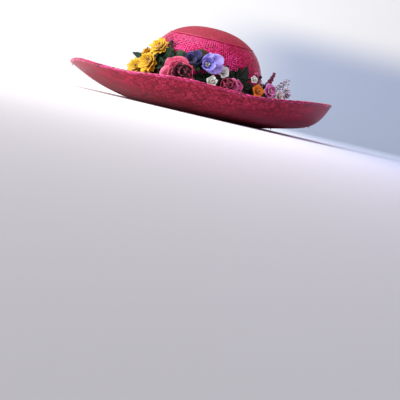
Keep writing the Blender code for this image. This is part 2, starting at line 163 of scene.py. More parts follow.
# rows of crossings up the crown, each as high as it is wide
fine_height = np.concatenate([
    np.linspace(CROWN_FOOT, CROWN_FOOT + SIDE_HEIGHT, SIDE_STEPS)[:-1],
    dome_height(np.cos(np.linspace(0, math.acos(TIP_SHARE), DOME_STEPS)) ** DOME_CROWDING)])
fine_height = fine_height[fine_height <= dome_height(TIP_SHARE)]
mean_radius = (CROWN_LENGTH + CROWN_WIDTH) / 4 * dome_share(fine_height)
climb = np.concatenate([[0], np.cumsum(np.hypot(np.diff(mean_radius), np.diff(fine_height)))])
row_climbs = [0.0]
while row_climbs[-1] < climb[-1]:
    girth = 2 * math.pi * np.interp(row_climbs[-1], climb, mean_radius)
    row_climbs.append(row_climbs[-1] + girth / CROWN_STRAWS)
row_climbs = np.array(row_climbs) * climb[-1] / row_climbs[-1]
row_count = len(row_climbs) - 1
columns = CROSSING * CROWN_STRAWS
u, v, relief = woven_lattice(CROSSING * row_count + 1, columns, CROWN_RELIEF)
wall_height = np.interp(np.interp(v, np.arange(row_count + 1), row_climbs), climb, fine_height)
outer = crown_point(360 * u / CROWN_STRAWS, wall_height)
outer = outer + lattice_normals(outer) * relief[..., None]
inner_height = np.interp(np.linspace(climb[-1], 0, INNER_ROWS), climb, fine_height)
inner = crown_point((360 * np.arange(columns) / columns)[None, :], inner_height[:, None])
inner = inner + lattice_normals(inner) * STRAW
rows = np.concatenate([outer, inner])
faces, corners = lattice_faces(len(rows), columns, closed_along=True)
crown_weave = make_piece("crown_weave", rows, faces, corners / CROSSING)

# the tip, on a square grid whose outermost crossings are drawn in to its oval edge
tip_reach = int(CROWN_LENGTH / 2 * TIP_SHARE / TIP_PITCH) + 2
tip_points = 2 * CROSSING * tip_reach + 1
u, v, relief = woven_lattice(tip_points, tip_points, TIP_RELIEF)
tip_x = (u - tip_reach) * TIP_PITCH
tip_y = (v - tip_reach) * TIP_PITCH
share = np.hypot(tip_x / (CROWN_WIDTH / 2), tip_y / (CROWN_LENGTH / 2))
draw_in = np.minimum(1, TIP_SHARE / np.maximum(share, 1e-9))
tip = np.stack([tip_x * draw_in, tip_y * draw_in, dome_height(share * draw_in) + relief], -1)
faces, corners = lattice_faces(tip_points, tip_points, closed_round=False)
inside = (share.ravel()[faces] < TIP_SHARE).any(axis=1)
faces, corners = faces[inside], corners[inside] / CROSSING
kept = np.unique(faces)
crown_tip = make_piece("crown_tip", tip.reshape(-1, 3)[kept], np.searchsorted(kept, faces), corners)
backing = crown_tip.modifiers.new("straw", "SOLIDIFY")
backing.thickness = STRAW
backing.offset = -1


def tube(path, radius, sides, closed=False, up=(0, 0, 1)):
    """Rings of points round a path. radius is a number, one for each point, or a lattice of them."""
    path = np.asarray(path, float)
    if closed:
        along = np.roll(path, -1, 0) - np.roll(path, 1, 0)
    else:
        along = np.gradient(path, axis=0)
    along /= np.linalg.norm(along, axis=1, keepdims=True)
    side = np.cross(along, up)
    side /= np.maximum(np.linalg.norm(side, axis=1, keepdims=True), 1e-9)
    top = np.cross(side, along)
    turn = 2 * np.pi * np.arange(sides) / sides
    if np.ndim(radius) < 2:
        radius = np.asarray(radius, float).reshape(-1, 1)
    radius = np.broadcast_to(radius, (len(path), sides))[..., None]
    return path[:, None] + radius * (
        side[:, None] * np.cos(turn)[None, :, None] + top[:, None] * np.sin(turn)[None, :, None])


seam_angles = np.linspace(0, 360, SEAM_POINTS, endpoint=False)
seam_path = crown_point(seam_angles, dome_height(TIP_SHARE) - SEAM_SINK)
wrap_turn = np.arange(SEAM_POINTS)[:, None] / SEAM_WRAP + np.arange(SEAM_SIDES)[None, :] / SEAM_SIDES
seam_swell = SEAM_LEAST + SEAM_SWELL * np.abs(np.sin(np.pi * wrap_turn))
seam = tube(seam_path, SEAM_RADIUS * seam_swell, SEAM_SIDES, closed=True)
faces, corners = lattice_faces(SEAM_POINTS, SEAM_SIDES, closed_along=True)
crown_seam = make_piece("crown_seam", seam, faces, corners / SEAM_WRAP)


class Value:
    """A shader node's output. Arithmetic with it adds a Math node to the same tree."""

    def __init__(self, tree, socket):
        self.tree = tree
        self.socket = socket

    def apply(self, operation, *terms):
        return output(self.tree, "ShaderNodeMath", dict(enumerate((self, *terms))), operation=operation)

    def __add__(self, term):
        return self.apply("ADD", term)

    def __sub__(self, term):
        return self.apply("SUBTRACT", term)

    def __rsub__(self, term):
        return output(self.tree, "ShaderNodeMath", {0: term, 1: self}, operation="SUBTRACT")

    def __mul__(self, term):
        return self.apply("MULTIPLY", term)

    def __pow__(self, power):
        return self.apply("POWER", power)


def set_inputs(node, values):
    """Sets inputs of a shader node, each to a number, a colour, a vector or another node's output."""
    for key, value in values.items():
        socket = node.inputs[key]
        if isinstance(value, Value):
            node.id_data.links.new(value.socket, socket)
        elif socket.type == "RGBA":
            socket.default_value = (*value, 1)
        else:
            socket.default_value = value


def add_node(tree, kind, values=None, **settings):
    made = tree.nodes.new(kind)
    for name, value in settings.items():
        setattr(made, name, value)
    set_inputs(made, values or {})
    return made


def output(tree, kind, values=None, socket=0, **settings):
    """Adds a shader node and gives what it puts out."""
    return Value(tree, add_node(tree, kind, values, **settings).outputs[socket])


def blend(share, first, second, mode="MIX"):
    return output(share.tree, "ShaderNodeMix", {0: share, 6: first, 7: second}, socket=2,
                  data_type="RGBA", blend_type=mode)


def choose(switch, first, second):
    """The first value where the switch is 0, and the second where it is 1."""
    return output(switch.tree, "ShaderNodeMix", {0: switch, 2: first, 3: second}, data_type="FLOAT")


def separate(vector):
    parts = add_node(vector.tree, "ShaderNodeSeparateXYZ", {0: vector})
    return [Value(vector.tree, socket) for socket in parts.outputs]


def combine(x, y, z):
    return output(x.tree, "ShaderNodeCombineXYZ", {0: x, 1: y, 2: z})


def object_place(tree):
    return output(tree, "ShaderNodeTexCoord", socket="Object")


def noise(place, scale, detail=2.0, roughness=0.5):
    return output(place.tree, "ShaderNodeTexNoise", {
        "Vector": place, "Scale": scale, "Detail": detail, "Roughness": roughness}, socket="Fac")


def node_group(name, inputs, outputs):
    """An empty shader node group, and its inputs by name. An input without a value is a vector."""
    group = bpy.data.node_groups.new(name, "ShaderNodeTree")
    for title, value in inputs.items():
        if value is None:
            group.interface.new_socket(title, in_out="INPUT", socket_type="NodeSocketVector")
        elif isinstance(value, tuple):
            socket = group.interface.new_socket(title, in_out="INPUT", socket_type="NodeSocketColor")
            socket.default_value = (*value, 1)
        else:
            socket = group.interface.new_socket(title, in_out="INPUT", socket_type="NodeSocketFloat")
            socket.default_value = value
    for title in outputs:
        kind = "NodeSocketColor" if title == "Color" else "NodeSocketFloat"
        group.interface.new_socket(title, in_out="OUTPUT", socket_type=kind)
    given = group.nodes.new("NodeGroupInput")
    return group, {title: Value(group, given.outputs[title]) for title in inputs}


# The shared look of plaited straw: a tone of its own for each crossing, fibres along each straw,
# larger faded patches, and painted shade in the gaps where straws dive under each other.
FIBRES_ACROSS, FIBRES_ALONG = 14.0, 1.2     # for each crossing
FIBRE_SHIFT = 40.0                          # so that each crossing has its own fibres
PATCH_SCALE = 26.0
GAP_SIDE_POWER, GAP_END_POWER, GAP_END_SHARE, GAP_SOFTNESS = 4.0, 5.0, 0.8, 0.2

straw_group, given = node_group(
    "plaited_straw",
    {"Weave": None, "Straw": (0.6, 0.02, 0.1), "Shade": (0.2, 0.0, 0.03), "Light": (0.8, 0.1, 0.3),
     "Gap": 0.6, "Mottle": 0.5},
    ("Color", "Roughness", "Height"))
column_place, row_place, _ = separate(given["Weave"])
crossing = output(straw_group, "ShaderNodeVectorMath", {0: given["Weave"]}, operation="FLOOR")
crossing_column, crossing_row, _ = separate(crossing)
parity = (crossing_column + crossing_row + 1000.0).apply("MODULO", 2.0)
runs_up = parity.apply("GREATER_THAN", 0.5)
across = choose(runs_up, row_place, column_place)
along = choose(runs_up, column_place, row_place)
from_middle = (across.apply("FRACT") - 0.5).apply("ABSOLUTE") * 2.0
from_crest = (along.apply("FRACT") - 0.5).apply("ABSOLUTE") * 2.0
tone = output(straw_group, "ShaderNodeTexWhiteNoise", {"Vector": crossing}, socket="Value",
              noise_dimensions="3D")
fibre = noise(combine(across * FIBRES_ACROSS, along * FIBRES_ALONG, tone * FIBRE_SHIFT), 1.0, 3.0, 0.6)
patches = noise(object_place(straw_group), PATCH_SCALE, 3.0, 0.55)
depth = from_middle ** GAP_SIDE_POWER + from_crest ** GAP_END_POWER * GAP_END_SHARE
# painted shade: the gaps turn towards the shade colour where straws dive under each other, and also sink
# the relief
gap = given["Gap"] * depth.apply("SMOOTH_MIN", 1.0, GAP_SOFTNESS)
colour = blend(tone ** 2.2 * given["Mottle"], given["Straw"], given["Light"])
for dark in ((1.0 - tone) ** 2.5 * given["Mottle"], (0.62 - fibre) * 0.9, (0.58 - patches) * 0.7, gap):
    colour = blend(dark, colour, given["Shade"])
add_node(straw_group, "NodeGroupOutput", {
    "Color": colour, "Roughness": fibre * 0.22 + tone * 0.18, "Height": fibre * 0.35 - gap})

STRAW_BUMP = 0.0002
MEAN_ROUGHNESS = 0.2        # of the group's own roughness
STRAW_TINT = (1.0, 0.45, 0.70)


def look_material(name, group, values, bump, toned=False):
    """A material with the colour and relief of a shared look, its shader, and what the look gives.

    A toned look also takes each part's own tone from the mesh.
    """
    made = bpy.data.materials.new(name)
    made.use_nodes = True
    tree = made.node_tree
    look = add_node(tree, "ShaderNodeGroup", {
        0: output(tree, "ShaderNodeUVMap", uv_map="surface"), **values}, node_tree=group)
    if toned:
        tone = output(tree, "ShaderNodeAttribute", socket="Fac", attribute_name="tone")
        set_inputs(look, {"Tone": tone})
    shown = {socket.name: Value(tree, socket) for socket in look.outputs}
    raised = output(tree, "ShaderNodeBump", {"Distance": bump, "Height": shown["Height"]})
    shader = tree.nodes["Principled BSDF"]
    set_inputs(shader, {"Base Color": shown["Color"], "Normal": raised})
    return made, shader, shown


def straw_material(name, straw, shade, light, roughness, gap=0.6, mottle=0.6, specular=0.5,
                   tint=STRAW_TINT):
    """Dyed straw: the shared plaited look in its own colours, with painted shade in its gaps as strong as
    given, and its own gloss.
    """
    made, shader, shown = look_material(name, straw_group, {
        "Straw": straw, "Shade": shade, "Light": light, "Gap": gap, "Mottle": mottle}, STRAW_BUMP)
    set_inputs(shader, {
        "Roughness": shown["Roughness"] + (roughness - MEAN_ROUGHNESS),
        "Specular IOR Level": specular, "Specular Tint": tint})
    return made


crown_weave.data.materials.append(straw_material(
    "crown_straw", (0.42, 0.003, 0.036), (0.11, 0.001, 0.009), (0.80, 0.012, 0.19), 0.24,
    specular=1.0, tint=(1.0, 0.22, 0.72)))
crown_tip.data.materials.append(straw_material(
    "tip_straw", (0.29, 0.020, 0.038), (0.18, 0.009, 0.020), (0.42, 0.05, 0.08), 0.55,
    gap=0.3, specular=0.25))
crown_seam.data.materials.append(straw_material(
    "seam_cord", (0.44, 0.03, 0.08), (0.38, 0.02, 0.06), (0.52, 0.07, 0.13), 0.50,
    gap=0.0, mottle=0.3))
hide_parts("crown")
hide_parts("crown")


# Brim
# One wide sheet of finer and duller straw, sewn under the crown's foot and blocked into a dish: it
# leaves the foot nearly flat and curls up towards the rim, most steeply at the back left.

BRIM_LENGTH = 0.438
BRIM_WIDTH = 0.410
REST_RING = 0.010           # flat ring round the crown's foot
RIM_RISE = 0.062
EDGE_THICKNESS = 0.0046
EDGE_SEAT = EDGE_THICKNESS / 2 + 2 * CLEARANCE
BRIM_STRAWS = 326
BRIM_ROWS_OF_STRAW = 35
BRIM_POINTS = 2             # points across each crossing, each way
BRIM_RELIEF = 0.00022
BRIM_FLANK, BRIM_HOLE = 0.25, -0.6      # heights as shares of the relief
FLOOR_PRESS = 0.0001        # how far the lowest straws may press into the floor
EDGE_TUCK = 1.016           # how far the straw runs into the rolled edge, as a share of the slope
SLOPE_STEPS = 161
# The brim round the hat. rise: the rim's height as a share of RIM_RISE. lift: the share of it that
# is a straight slope. curl: the power of the rest.
BrimRow = namedtuple("BrimRow", "angle rise lift curl")
BRIM_ROWS = [BrimRow(*row) for row in (
    (-142, 0.575, 0.35, 2.1), (-114, 0.690, 0.34, 2.3), (-98, 0.655, 0.33, 2.5),
    (-83, 0.640, 0.33, 2.7), (-70, 0.715, 0.33, 3.0), (-58, 0.775, 0.34, 3.2),
    (-44, 0.755, 0.35, 3.4), (-32, 0.735, 0.36, 3.8), (-18, 0.800, 0.37, 4.5),
    (-2, 0.910, 0.39, 5.5), (18, 0.985, 0.41, 7.0), (38, 1.000, 0.42, 8.0),
    (70, 0.900, 0.41, 6.0), (100, 0.790, 0.39, 4.2), (130, 0.715, 0.37, 3.0),
    (160, 0.650, 0.36, 2.5), (190, 0.600, 0.35, 2.2),
)]


def brim_row(degrees):
    """The brim's rise, lift and curl at an angle, on a smooth curve through BRIM_ROWS."""
    first = BRIM_ROWS[0].angle
    angle = first + (degrees - first) % 360
    count = len(BRIM_ROWS)

    def row(i):
        found = BRIM_ROWS[i % count]
        return found._replace(angle=found.angle + 360 * (i // count))

    here = max(i for i in range(count) if row(i).angle <= angle)
    before, low, high, after = (row(here + k) for k in (-1, 0, 1, 2))
    span = high.angle - low.angle
    t = (angle - low.angle) / span
    values = []
    for k in (1, 2, 3):
        slope_low = (high[k] - before[k]) / (high.angle - before.angle) * span
        slope_high = (after[k] - low[k]) / (after.angle - low.angle) * span
        values.append(low[k] * (2 * t**3 - 3 * t**2 + 1) + slope_low * (t**3 - 2 * t**2 + t)
                      + high[k] * (3 * t**2 - 2 * t**3) + slope_high * (t**3 - t**2))
    return BrimRow(degrees, *values)


def brim_points(degrees, share):
    """The brim's underside at one angle, at shares of the way from its flat ring to its rim."""
    row = brim_row(degrees)
    start = ellipse_radius(degrees, CROWN_LENGTH, CROWN_WIDTH) + REST_RING
    outline = ellipse_radius(degrees, BRIM_LENGTH, BRIM_WIDTH)
    rise = (RIM_RISE - EDGE_THICKNESS) * row.rise
    slope = math.atan2(rise * (row.lift + (1 - row.lift) * row.curl), outline - start)
    end = outline - EDGE_THICKNESS / 2 - EDGE_SEAT * math.cos(slope) + STRAW / 2 * math.sin(slope)
    share = np.asarray(share, float)
    height = rise * (row.lift * share + (1 - row.lift) * share ** row.curl)
    return polar(degrees, start + (end - start) * share, height)


columns = BRIM_POINTS * BRIM_STRAWS
slope_shares = np.linspace(0, EDGE_TUCK, SLOPE_STEPS)
under = np.empty((BRIM_POINTS * BRIM_ROWS_OF_STRAW + 1, columns, 3))
for k in range(columns):
    degrees = 360 * k / columns
    opening_radius = ellipse_radius(degrees, CROWN_LENGTH - 2 * STRAW, CROWN_WIDTH - 2 * STRAW)
    opening = polar(degrees, opening_radius, 0)
    profile = np.concatenate([opening[None], brim_points(degrees, slope_shares)])
    climb = np.concatenate([[0], np.cumsum(np.linalg.norm(np.diff(profile, axis=0), axis=1))])
    steps = np.linspace(0, climb[-1], len(under))
    for axis in range(3):
        under[:, k, axis] = np.interp(steps, climb, profile[:, axis])
upward = -lattice_normals(under[:, ::-1])[:, ::-1]
upward *= np.sign(upward[..., 2:3])
row, column = np.meshgrid(np.arange(len(under)), np.arange(columns), indexing="ij")
odd = row % BRIM_POINTS + column % BRIM_POINTS
relief = np.choose(odd, (BRIM_HOLE, BRIM_FLANK, RIDGE)) * BRIM_RELIEF
relief[0] = 0
relief[-1] = 0
lower = under - upward * np.minimum(relief, under[..., 2] + FLOOR_PRESS)[..., None]
upper = under + upward * (STRAW + relief)[..., None]
rows = np.concatenate([lower, upper[::-1]])
faces, corners = lattice_faces(len(rows), columns, closed_along=True)
corners /= BRIM_POINTS
brim_weave = make_piece("brim_weave", rows, faces[:, ::-1], corners[:, ::-1])
brim_weave.data.materials.append(straw_material(
    "brim_straw", (0.31, 0.006, 0.028), (0.09, 0.002, 0.008), (0.60, 0.042, 0.10), 0.46,
    gap=0.5, mottle=0.75, specular=0.35))
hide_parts("brim")


# Rolled edge
# The brim's raw edge is rolled over a wire and bound with one long glossy straw, wound round and
# round it. Each turn of the straw stands up in the middle and catches the light.

EDGE_TURNS = 152
POINTS_PER_TURN = 10
EDGE_SIDES = 12
EDGE_RELIEF = 0.0009
EDGE_FLATNESS = 0.6         # below 1 each turn of straw is flatter along its middle
SHARE_STEP = 0.02           # share of the way along, for the direction of a slope or a stem

edge_path = []
for degrees in np.linspace(0, 360, EDGE_TURNS * POINTS_PER_TURN, endpoint=False):
    before, end = brim_points(degrees, (1 - SHARE_STEP, 1.0))
    outward = (end - before) / np.linalg.norm(end - before)
    inward = np.array((0, 0, 1)) - outward * outward[2]
    inward /= np.linalg.norm(inward)
    edge_path.append(end + inward * STRAW / 2 + outward * EDGE_SEAT)
turn = np.arange(len(edge_path))[:, None] / POINTS_PER_TURN + np.arange(EDGE_SIDES)[None, :] / EDGE_SIDES
wound = np.abs(np.sin(np.pi * turn)) ** EDGE_FLATNESS
edge_radius = EDGE_THICKNESS / 2 - EDGE_RELIEF + EDGE_RELIEF * wound
edge = tube(edge_path, edge_radius, EDGE_SIDES, closed=True)
faces, corners = lattice_faces(len(edge), EDGE_SIDES, closed_along=True)
side_place = corners[..., 0] / EDGE_SIDES
corners = np.stack([corners[..., 1] / POINTS_PER_TURN + side_place, side_place], -1)
edge_binding = make_piece("edge_binding", edge, faces, corners)
# the strongest painted shade, in the gaps between the turns of the binding straw
edge_binding.data.materials.append(straw_material(
    "edge_straw", (0.58, 0.008, 0.08), (0.13, 0.002, 0.018), (0.90, 0.08, 0.32), 0.24,
    gap=0.75, mottle=0.9, specular=1.0, tint=(1.0, 0.32, 0.62)))
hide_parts("brim_edge")


# Flowers
# Petals are stamped from stiffened cloth, tinted darker towards their roots, and set round a green
# cup on a covered wire neck that is sewn through the crown. Some have thread stamens. The pink rose's
# nearly black middle is painted shade.

GARLAND_DEPTH = 0.047
SEAT_GAP = 0.0003           # from the crown's curve to what is sewn on it
CLOTH = 0.00035             # thickness of the petals
CORE_SHIFT = 1.8            # how far off its middle a leaning flower's petals meet, for a lean of 1
UP = Vector((0, 0, 1))
ANGLE_STEP, HEIGHT_STEP = 0.5, 0.0005       # degrees and metres, for the slope of the crown's wall

NECK_RADIUS = 0.0017
NECK_SHARES = (1, 1, 0.9, 0.9, 1)           # of its radius, from the seat to the cup
NECK_BEND = 0.45            # share of the way along, where the straight seat turns to the flower
CUP_FOOT, CUP_TOP = 0.34, 0.16              # behind the flower's centre, as shares of its radius
CUP_RADIUS, CUP_END = 0.22, 0.10            # shares of the flower's radius
STAMEN_PLACES = (0, 0.4, 0.78, 0.90, 1.0)
STAMEN_RADII = (0.00022, 0.00022, 0.00026, 0.00062, 0.0003)
STAMEN_TURN = (-0.3, 0.3)   # radians off its even place round the middle
STAMEN_ASIDE, STAMEN_HEIGHT = (0.08, 0.24), (0.26, 0.42)    # of its tip, as shares of the radius
STAMEN_FOOT = 0.3           # how far aside it starts, as a share of its tip's distance
STAMEN_TONE = -0.8

PETAL_CROWDING = 1.35       # above 1 a petal's rows lie closer together towards its tip
PETAL_WIDEST = 0.60         # share of the way along, where a petal is widest
PETAL_ROOT = 0.18           # width at the root, as a share of the widest
PETAL_SWELL = 0.85          # below 1 a petal widens early
PETAL_TIP = 0.90            # how much of the width is gone at the tip, as a share of its square
PETAL_ROUNDING = 0.10       # how far the corners of the tip fall back
LEAST_CURL = 0.01
RUFFLE_WAVES, RUFFLE_SHIFT = 2.4, 5
# painted highlight on the outermost petals of a leaning flower's longer side
HIGHLIGHT_FROM = 0.3           # share of the lean above which the outermost petals take the accent
# how much one petal may differ from its whorl, in degrees and as shares
ANGLE_RANGE, OPENING_RANGE = (-7, 7), (-5, 5)
LENGTH_RANGE, CURL_RANGE, TONE_RANGE = (0.94, 1.04), (-0.12, 0.12), (-0.06, 0.10)

# One ring of like petals. first: degrees. base and depth: the root's distance from the flower's
# middle and in front of it. length, width and ruffle are shares of the flower's radius too. opening:
# degrees up from flat. cup and curl: how hollow a petal is across and along. tone: towards the root's
# colour.
Whorl = namedtuple("Whorl", "count first base depth length width opening cup curl ruffle tone")
# The inner whorls take the root's colour; in the pink rose that is nearly black, as painted shade deep in
# its middle.
ROSE = (
    Whorl(5, 0, 0.10, -0.34, 1.00, 1.25, 24, 0.34, 0.12, 0.03, 0.0),
    Whorl(6, 36, 0.10, -0.26, 0.84, 0.90, 36, 0.40, 0.50, 0.02, 0.30),
    Whorl(7, 10, 0.08, -0.22, 0.76, 0.68, 44, 0.45, 0.75, 0.02, 0.70),
    Whorl(8, 40, 0.06, -0.18, 0.68, 0.50, 53, 0.45, 0.9, 0.02, 0.85),
    Whorl(7, 15, 0.05, -0.14, 0.54, 0.38, 66, 0.45, 1.2, 0.02, 0.85),
    Whorl(6, 50, 0.04, -0.10, 0.46, 0.30, 76, 0.45, 1.4, 0.0, 0.92),
    Whorl(4, 20, 0.02, -0.06, 0.38, 0.24, 86, 0.45, 1.5, 0.0, 1.0),
)
ROSEBUD = (
    Whorl(4, 0, 0.10, -0.40, 1.00, 1.30, 36, 0.40, 0.45, 0.03, 0.45),
    Whorl(4, 45, 0.08, -0.34, 0.94, 1.05, 54, 0.45, 0.85, 0.02, 0.55),
    Whorl(4, 20, 0.06, -0.28, 0.82, 0.76, 68, 0.45, 1.1, 0.02, 0.7),
    Whorl(3, 70, 0.04, -0.20, 0.66, 0.54, 80, 0.45, 1.4, 0.0, 0.9),
)
PANSY = (
    Whorl(5, 18, 0.05, -0.08, 0.96, 1.20, 14, 0.20, -0.25, 0.05, 0.0),
    Whorl(4, 60, 0.04, -0.02, 0.80, 1.00, 34, 0.30, 0.35, 0.05, 0.1),
)
JONQUIL = (
    Whorl(9, 0, 0.05, -0.12, 1.02, 0.60, 6, 0.20, -0.30, 0.05, -0.2),
    Whorl(9, 20, 0.05, -0.06, 0.94, 0.54, 20, 0.22, 0.05, 0.05, -0.1),
    Whorl(8, 5, 0.05, -0.02, 0.74, 0.46, 36, 0.25, 0.30, 0.05, 0.0),
    Whorl(7, 30, 0.04, 0.00, 0.48, 0.32, 56, 0.30, 0.50, 0.05, 0.35),
)
BLOSSOM = (
    Whorl(5, 18, 0.06, -0.28, 1.02, 1.05, 30, 0.26, -0.25, 0.05, 0.0),
    Whorl(4, 50, 0.04, -0.14, 0.66, 0.72, 58, 0.30, 0.50, 0.04, 0.2),
)
SEPALS = (Whorl(5, 54, 0.10, -0.36, 0.62, 0.42, 6, 0.20, 0.30, 0.0, 0.0),)
ROSE_DIAMETER, PANSY_DIAMETER, BLOSSOM_DIAMETER = 0.056, 0.031, 0.020
# kind: diameter, petals, stamens
KINDS = {
    "rose": (ROSE_DIAMETER, ROSE, 0),
    "rosebud": (ROSE_DIAMETER, ROSEBUD, 0),
    "pansy": (PANSY_DIAMETER, PANSY, 16),
    "pansy_dark": (PANSY_DIAMETER, PANSY, 0),
    "jonquil": (PANSY_DIAMETER, JONQUIL, 6),
    "blossom": (BLOSSOM_DIAMETER, BLOSSOM, 5),
}

# Where a flower or bud is, and its own three directions: to its right, to its top and out of its face.
Pose = namedtuple("Pose", "centre right top facing")


def wall_frame(degrees, height):
    """The crown's surface at an angle and height: the point, straight out, round the hat, and up."""
    here = Vector(crown_point(degrees, height))
    across = Vector(crown_point(degrees + ANGLE_STEP, height) - crown_point(degrees - ANGLE_STEP, height))
    climb = Vector(crown_point(degrees, height + HEIGHT_STEP) - crown_point(degrees, height - HEIGHT_STEP))
    round_way = across.normalized()
    out = round_way.cross(climb).normalized()
    return here, out, round_way, out.cross(round_way).normalized()


def petal_points(whorl, angle, stretch, spread, opening, curl, t, s):
    """A petal's points about the flower's middle. t runs from root to tip, and s from edge to edge."""
    past_widest = np.clip((t - PETAL_WIDEST) / (1 - PETAL_WIDEST), 0, 1)
    swell = np.sin(np.pi / 2 * np.minimum(1, t / PETAL_WIDEST) ** PETAL_SWELL)
    half = whorl.width / 2 * spread * np.sqrt(1 - PETAL_TIP * past_widest ** 2) * (
        PETAL_ROOT + (1 - PETAL_ROOT) * swell)
    turned = curl if abs(curl) > LEAST_CURL else LEAST_CURL
    bend = turned * (t - PETAL_ROUNDING * s ** 2 * t ** 2)
    along = whorl.length * stretch * np.sin(bend) / turned
    rise = whorl.length * stretch * (1 - np.cos(bend)) / turned + whorl.cup * s ** 2 * half
    rise = rise + whorl.ruffle * np.sin(RUFFLE_WAVES * np.pi * s + RUFFLE_SHIFT * angle) * t ** 2
    outward = along * math.cos(opening) - rise * math.sin(opening) + whorl.base
    forward = along * math.sin(opening) + rise * math.cos(opening) + whorl.depth
    sideways = s * half
    return np.stack(np.broadcast_arrays(
        outward * math.cos(angle) - sideways * math.sin(angle),
        outward * math.sin(angle) + sideways * math.cos(angle), forward), -1)


class Assembly:
    """Collects the closed sheets and cords of one piece, and which material each part has."""

    def __init__(self):
        self.points, self.faces, self.corners, self.tones, self.slots = [], [], [], [], []

    def add(self, points, faces, corners, tone, slot):
        start = len(self.points)
        self.points += np.reshape(points, (-1, 3)).tolist()
        self.faces += [[start + i for i in face] for face in faces]
        self.corners += corners
        self.tones += [tone] * (len(self.points) - start)
        self.slots += [slot] * len(faces)

    def sheet(self, front, thickness=CLOTH, tone=0.0, slot=0):
        """A thin sheet from a lattice of points: its two sides and the edge between them."""
        rows, columns = front.shape[:2]
        back = front - lattice_normals(front, closed_round=False) * thickness
        ring = np.concatenate([front, back[:, ::-1]], axis=1)
        faces, corners = lattice_faces(rows, 2 * columns)
        faces = faces.tolist()
        place = np.concatenate([np.arange(columns), np.arange(columns)[::-1], [0]]) / (columns - 1)
        corners = np.stack([
            place[corners[..., 0].astype(int)], corners[..., 1] / (rows - 1)], -1).tolist()
        for row in (0, rows - 1):
            for k in range(columns - 1):
                opposite = 2 * columns - 1 - k
                faces.append([row * 2 * columns + i for i in (k, k + 1, opposite - 1, opposite)])
                corners.append([[place[i], row / (rows - 1)] for i in (k, k + 1, k + 1, k)])
        self.add(ring, faces, corners, tone, slot)

    def cord(self, path, radius, sides=6, tone=0.0, slot=0):
        """A round stem along a path, closed at both ends."""
        rings = tube(path, radius, sides, up=(0.31, 0.17, 0.94))
        faces, corners = lattice_faces(len(rings), sides)
        faces = faces.tolist()
        corners = (corners / (sides, len(rings) - 1)).tolist()
        for row in (0, len(rings) - 1):
            faces.append([row * sides + k for k in range(sides)])
            corners.append([[k / sides, row / (len(rings) - 1)] for k in range(sides)])
        self.add(rings, faces, corners, tone, slot)

    def petals(self, layers, pose, radius, rng, spin=0.0, lean=0.0, lean_at=180.0, accent=0.0, slot=0,
               rows=8, columns=7):
        """Whorls of petals round a middle. lean makes the petals on one side longer, and moves the
        point where they all meet to the other side."""
        basis = np.array([pose.right, pose.top, pose.facing])
        lean_angle = math.radians(lean_at)
        lean_way = np.array((math.cos(lean_angle), math.sin(lean_angle), 0))
        t = 1 - (1 - np.linspace(0, 1, rows)[:, None]) ** PETAL_CROWDING
        s = np.linspace(-1, 1, columns)[None, :]
        for number, whorl in enumerate(layers):
            inner = number / max(1, len(layers) - 1)
            for k in range(whorl.count):
                degrees = whorl.first + spin + 360 * k / whorl.count + rng.uniform(*ANGLE_RANGE)
                angle = math.radians(degrees)
                side = math.cos(angle - lean_angle)
                stretch = (1 + lean * side) * rng.uniform(*LENGTH_RANGE)
                opening = math.radians(whorl.opening + rng.uniform(*OPENING_RANGE))
                curl = whorl.curl + rng.uniform(*CURL_RANGE)
                local = petal_points(whorl, angle, stretch, 1 + lean * side / 2, opening, curl, t, s)
                local -= (CORE_SHIFT * lean * (1 - t * (1 - inner)))[..., None] * lean_way
                shown = whorl.tone + rng.uniform(*TONE_RANGE)
                # painted highlight: the outermost petals on the lean side take the rim's colour
                if accent and number == 0 and side > HIGHLIGHT_FROM:
                    shown = -accent
                self.sheet(np.array(pose.centre) + radius * local @ basis, tone=shown, slot=slot)

    def make(self, name, materials):
        flat_corners = [value for face in self.corners for corner in face for value in corner]
        made = make_piece(name, self.points, self.faces, flat_corners, self.tones)
        for material in materials:
            made.data.materials.append(material)
        made.data.polygons.foreach_set("material_index", self.slots)
        outward = bmesh.new()
        outward.from_mesh(made.data)
        bmesh.ops.recalc_face_normals(outward, faces=outward.faces)
        outward.to_mesh(made.data)
        outward.free()
        made.data.update()
        return made


def ramp(value, low, high):
    """A smooth step from 0 at low to 1 at high."""
    return output(value.tree, "ShaderNodeMapRange", {
        "Value": value, "From Min": low, "From Max": high}, interpolation_type="SMOOTHSTEP")


# The shared look of tinted cloth: the root's colour runs out along veins into the blade's, the rim
# has its own, and a fine thread shows close to. At the tips of the darker petals the rim's colour is
# painted highlight.
VEINS_ACROSS, VEINS_ALONG = 16.0, 1.6
CLOUD_SCALE, THREAD_SCALE = 160.0, 1600.0
CLOTH_BUMP = 0.00025

cloth_group, given = node_group(
    "cloth_petal",
    {"Place": None, "Tone": 0.0, "Root": (0.3, 0.0, 0.05), "Blade": (0.7, 0.1, 0.3),
     "Rim": (0.8, 0.2, 0.4), "Veins": 0.5},
    ("Color", "Height"))
tone, root, rim = given["Tone"], given["Root"], given["Rim"]
across, along, _ = separate(given["Place"])
place = object_place(cloth_group)
clouds = noise(place, CLOUD_SCALE, 3.0, 0.6)
veins = noise(combine(across * VEINS_ACROSS, along * VEINS_ALONG, tone), 1.0, 2.0, 0.5)
thread = noise(place, THREAD_SCALE, 1.0, 0.5)
reach = along + (veins - 0.5) * 0.5
colour = blend(ramp(reach, 0.12, 0.60), root, given["Blade"])
colour = blend(ramp(reach, 0.60, 1.02), colour, rim)
# a negative tone turns towards the rim's colour; for the outer petals of one side this is a painted
# highlight
colour = blend(ramp(tone * -1.0, 0.0, 1.0), colour, rim)
colour = blend(ramp(tone, 0.0, 1.0), colour, root)
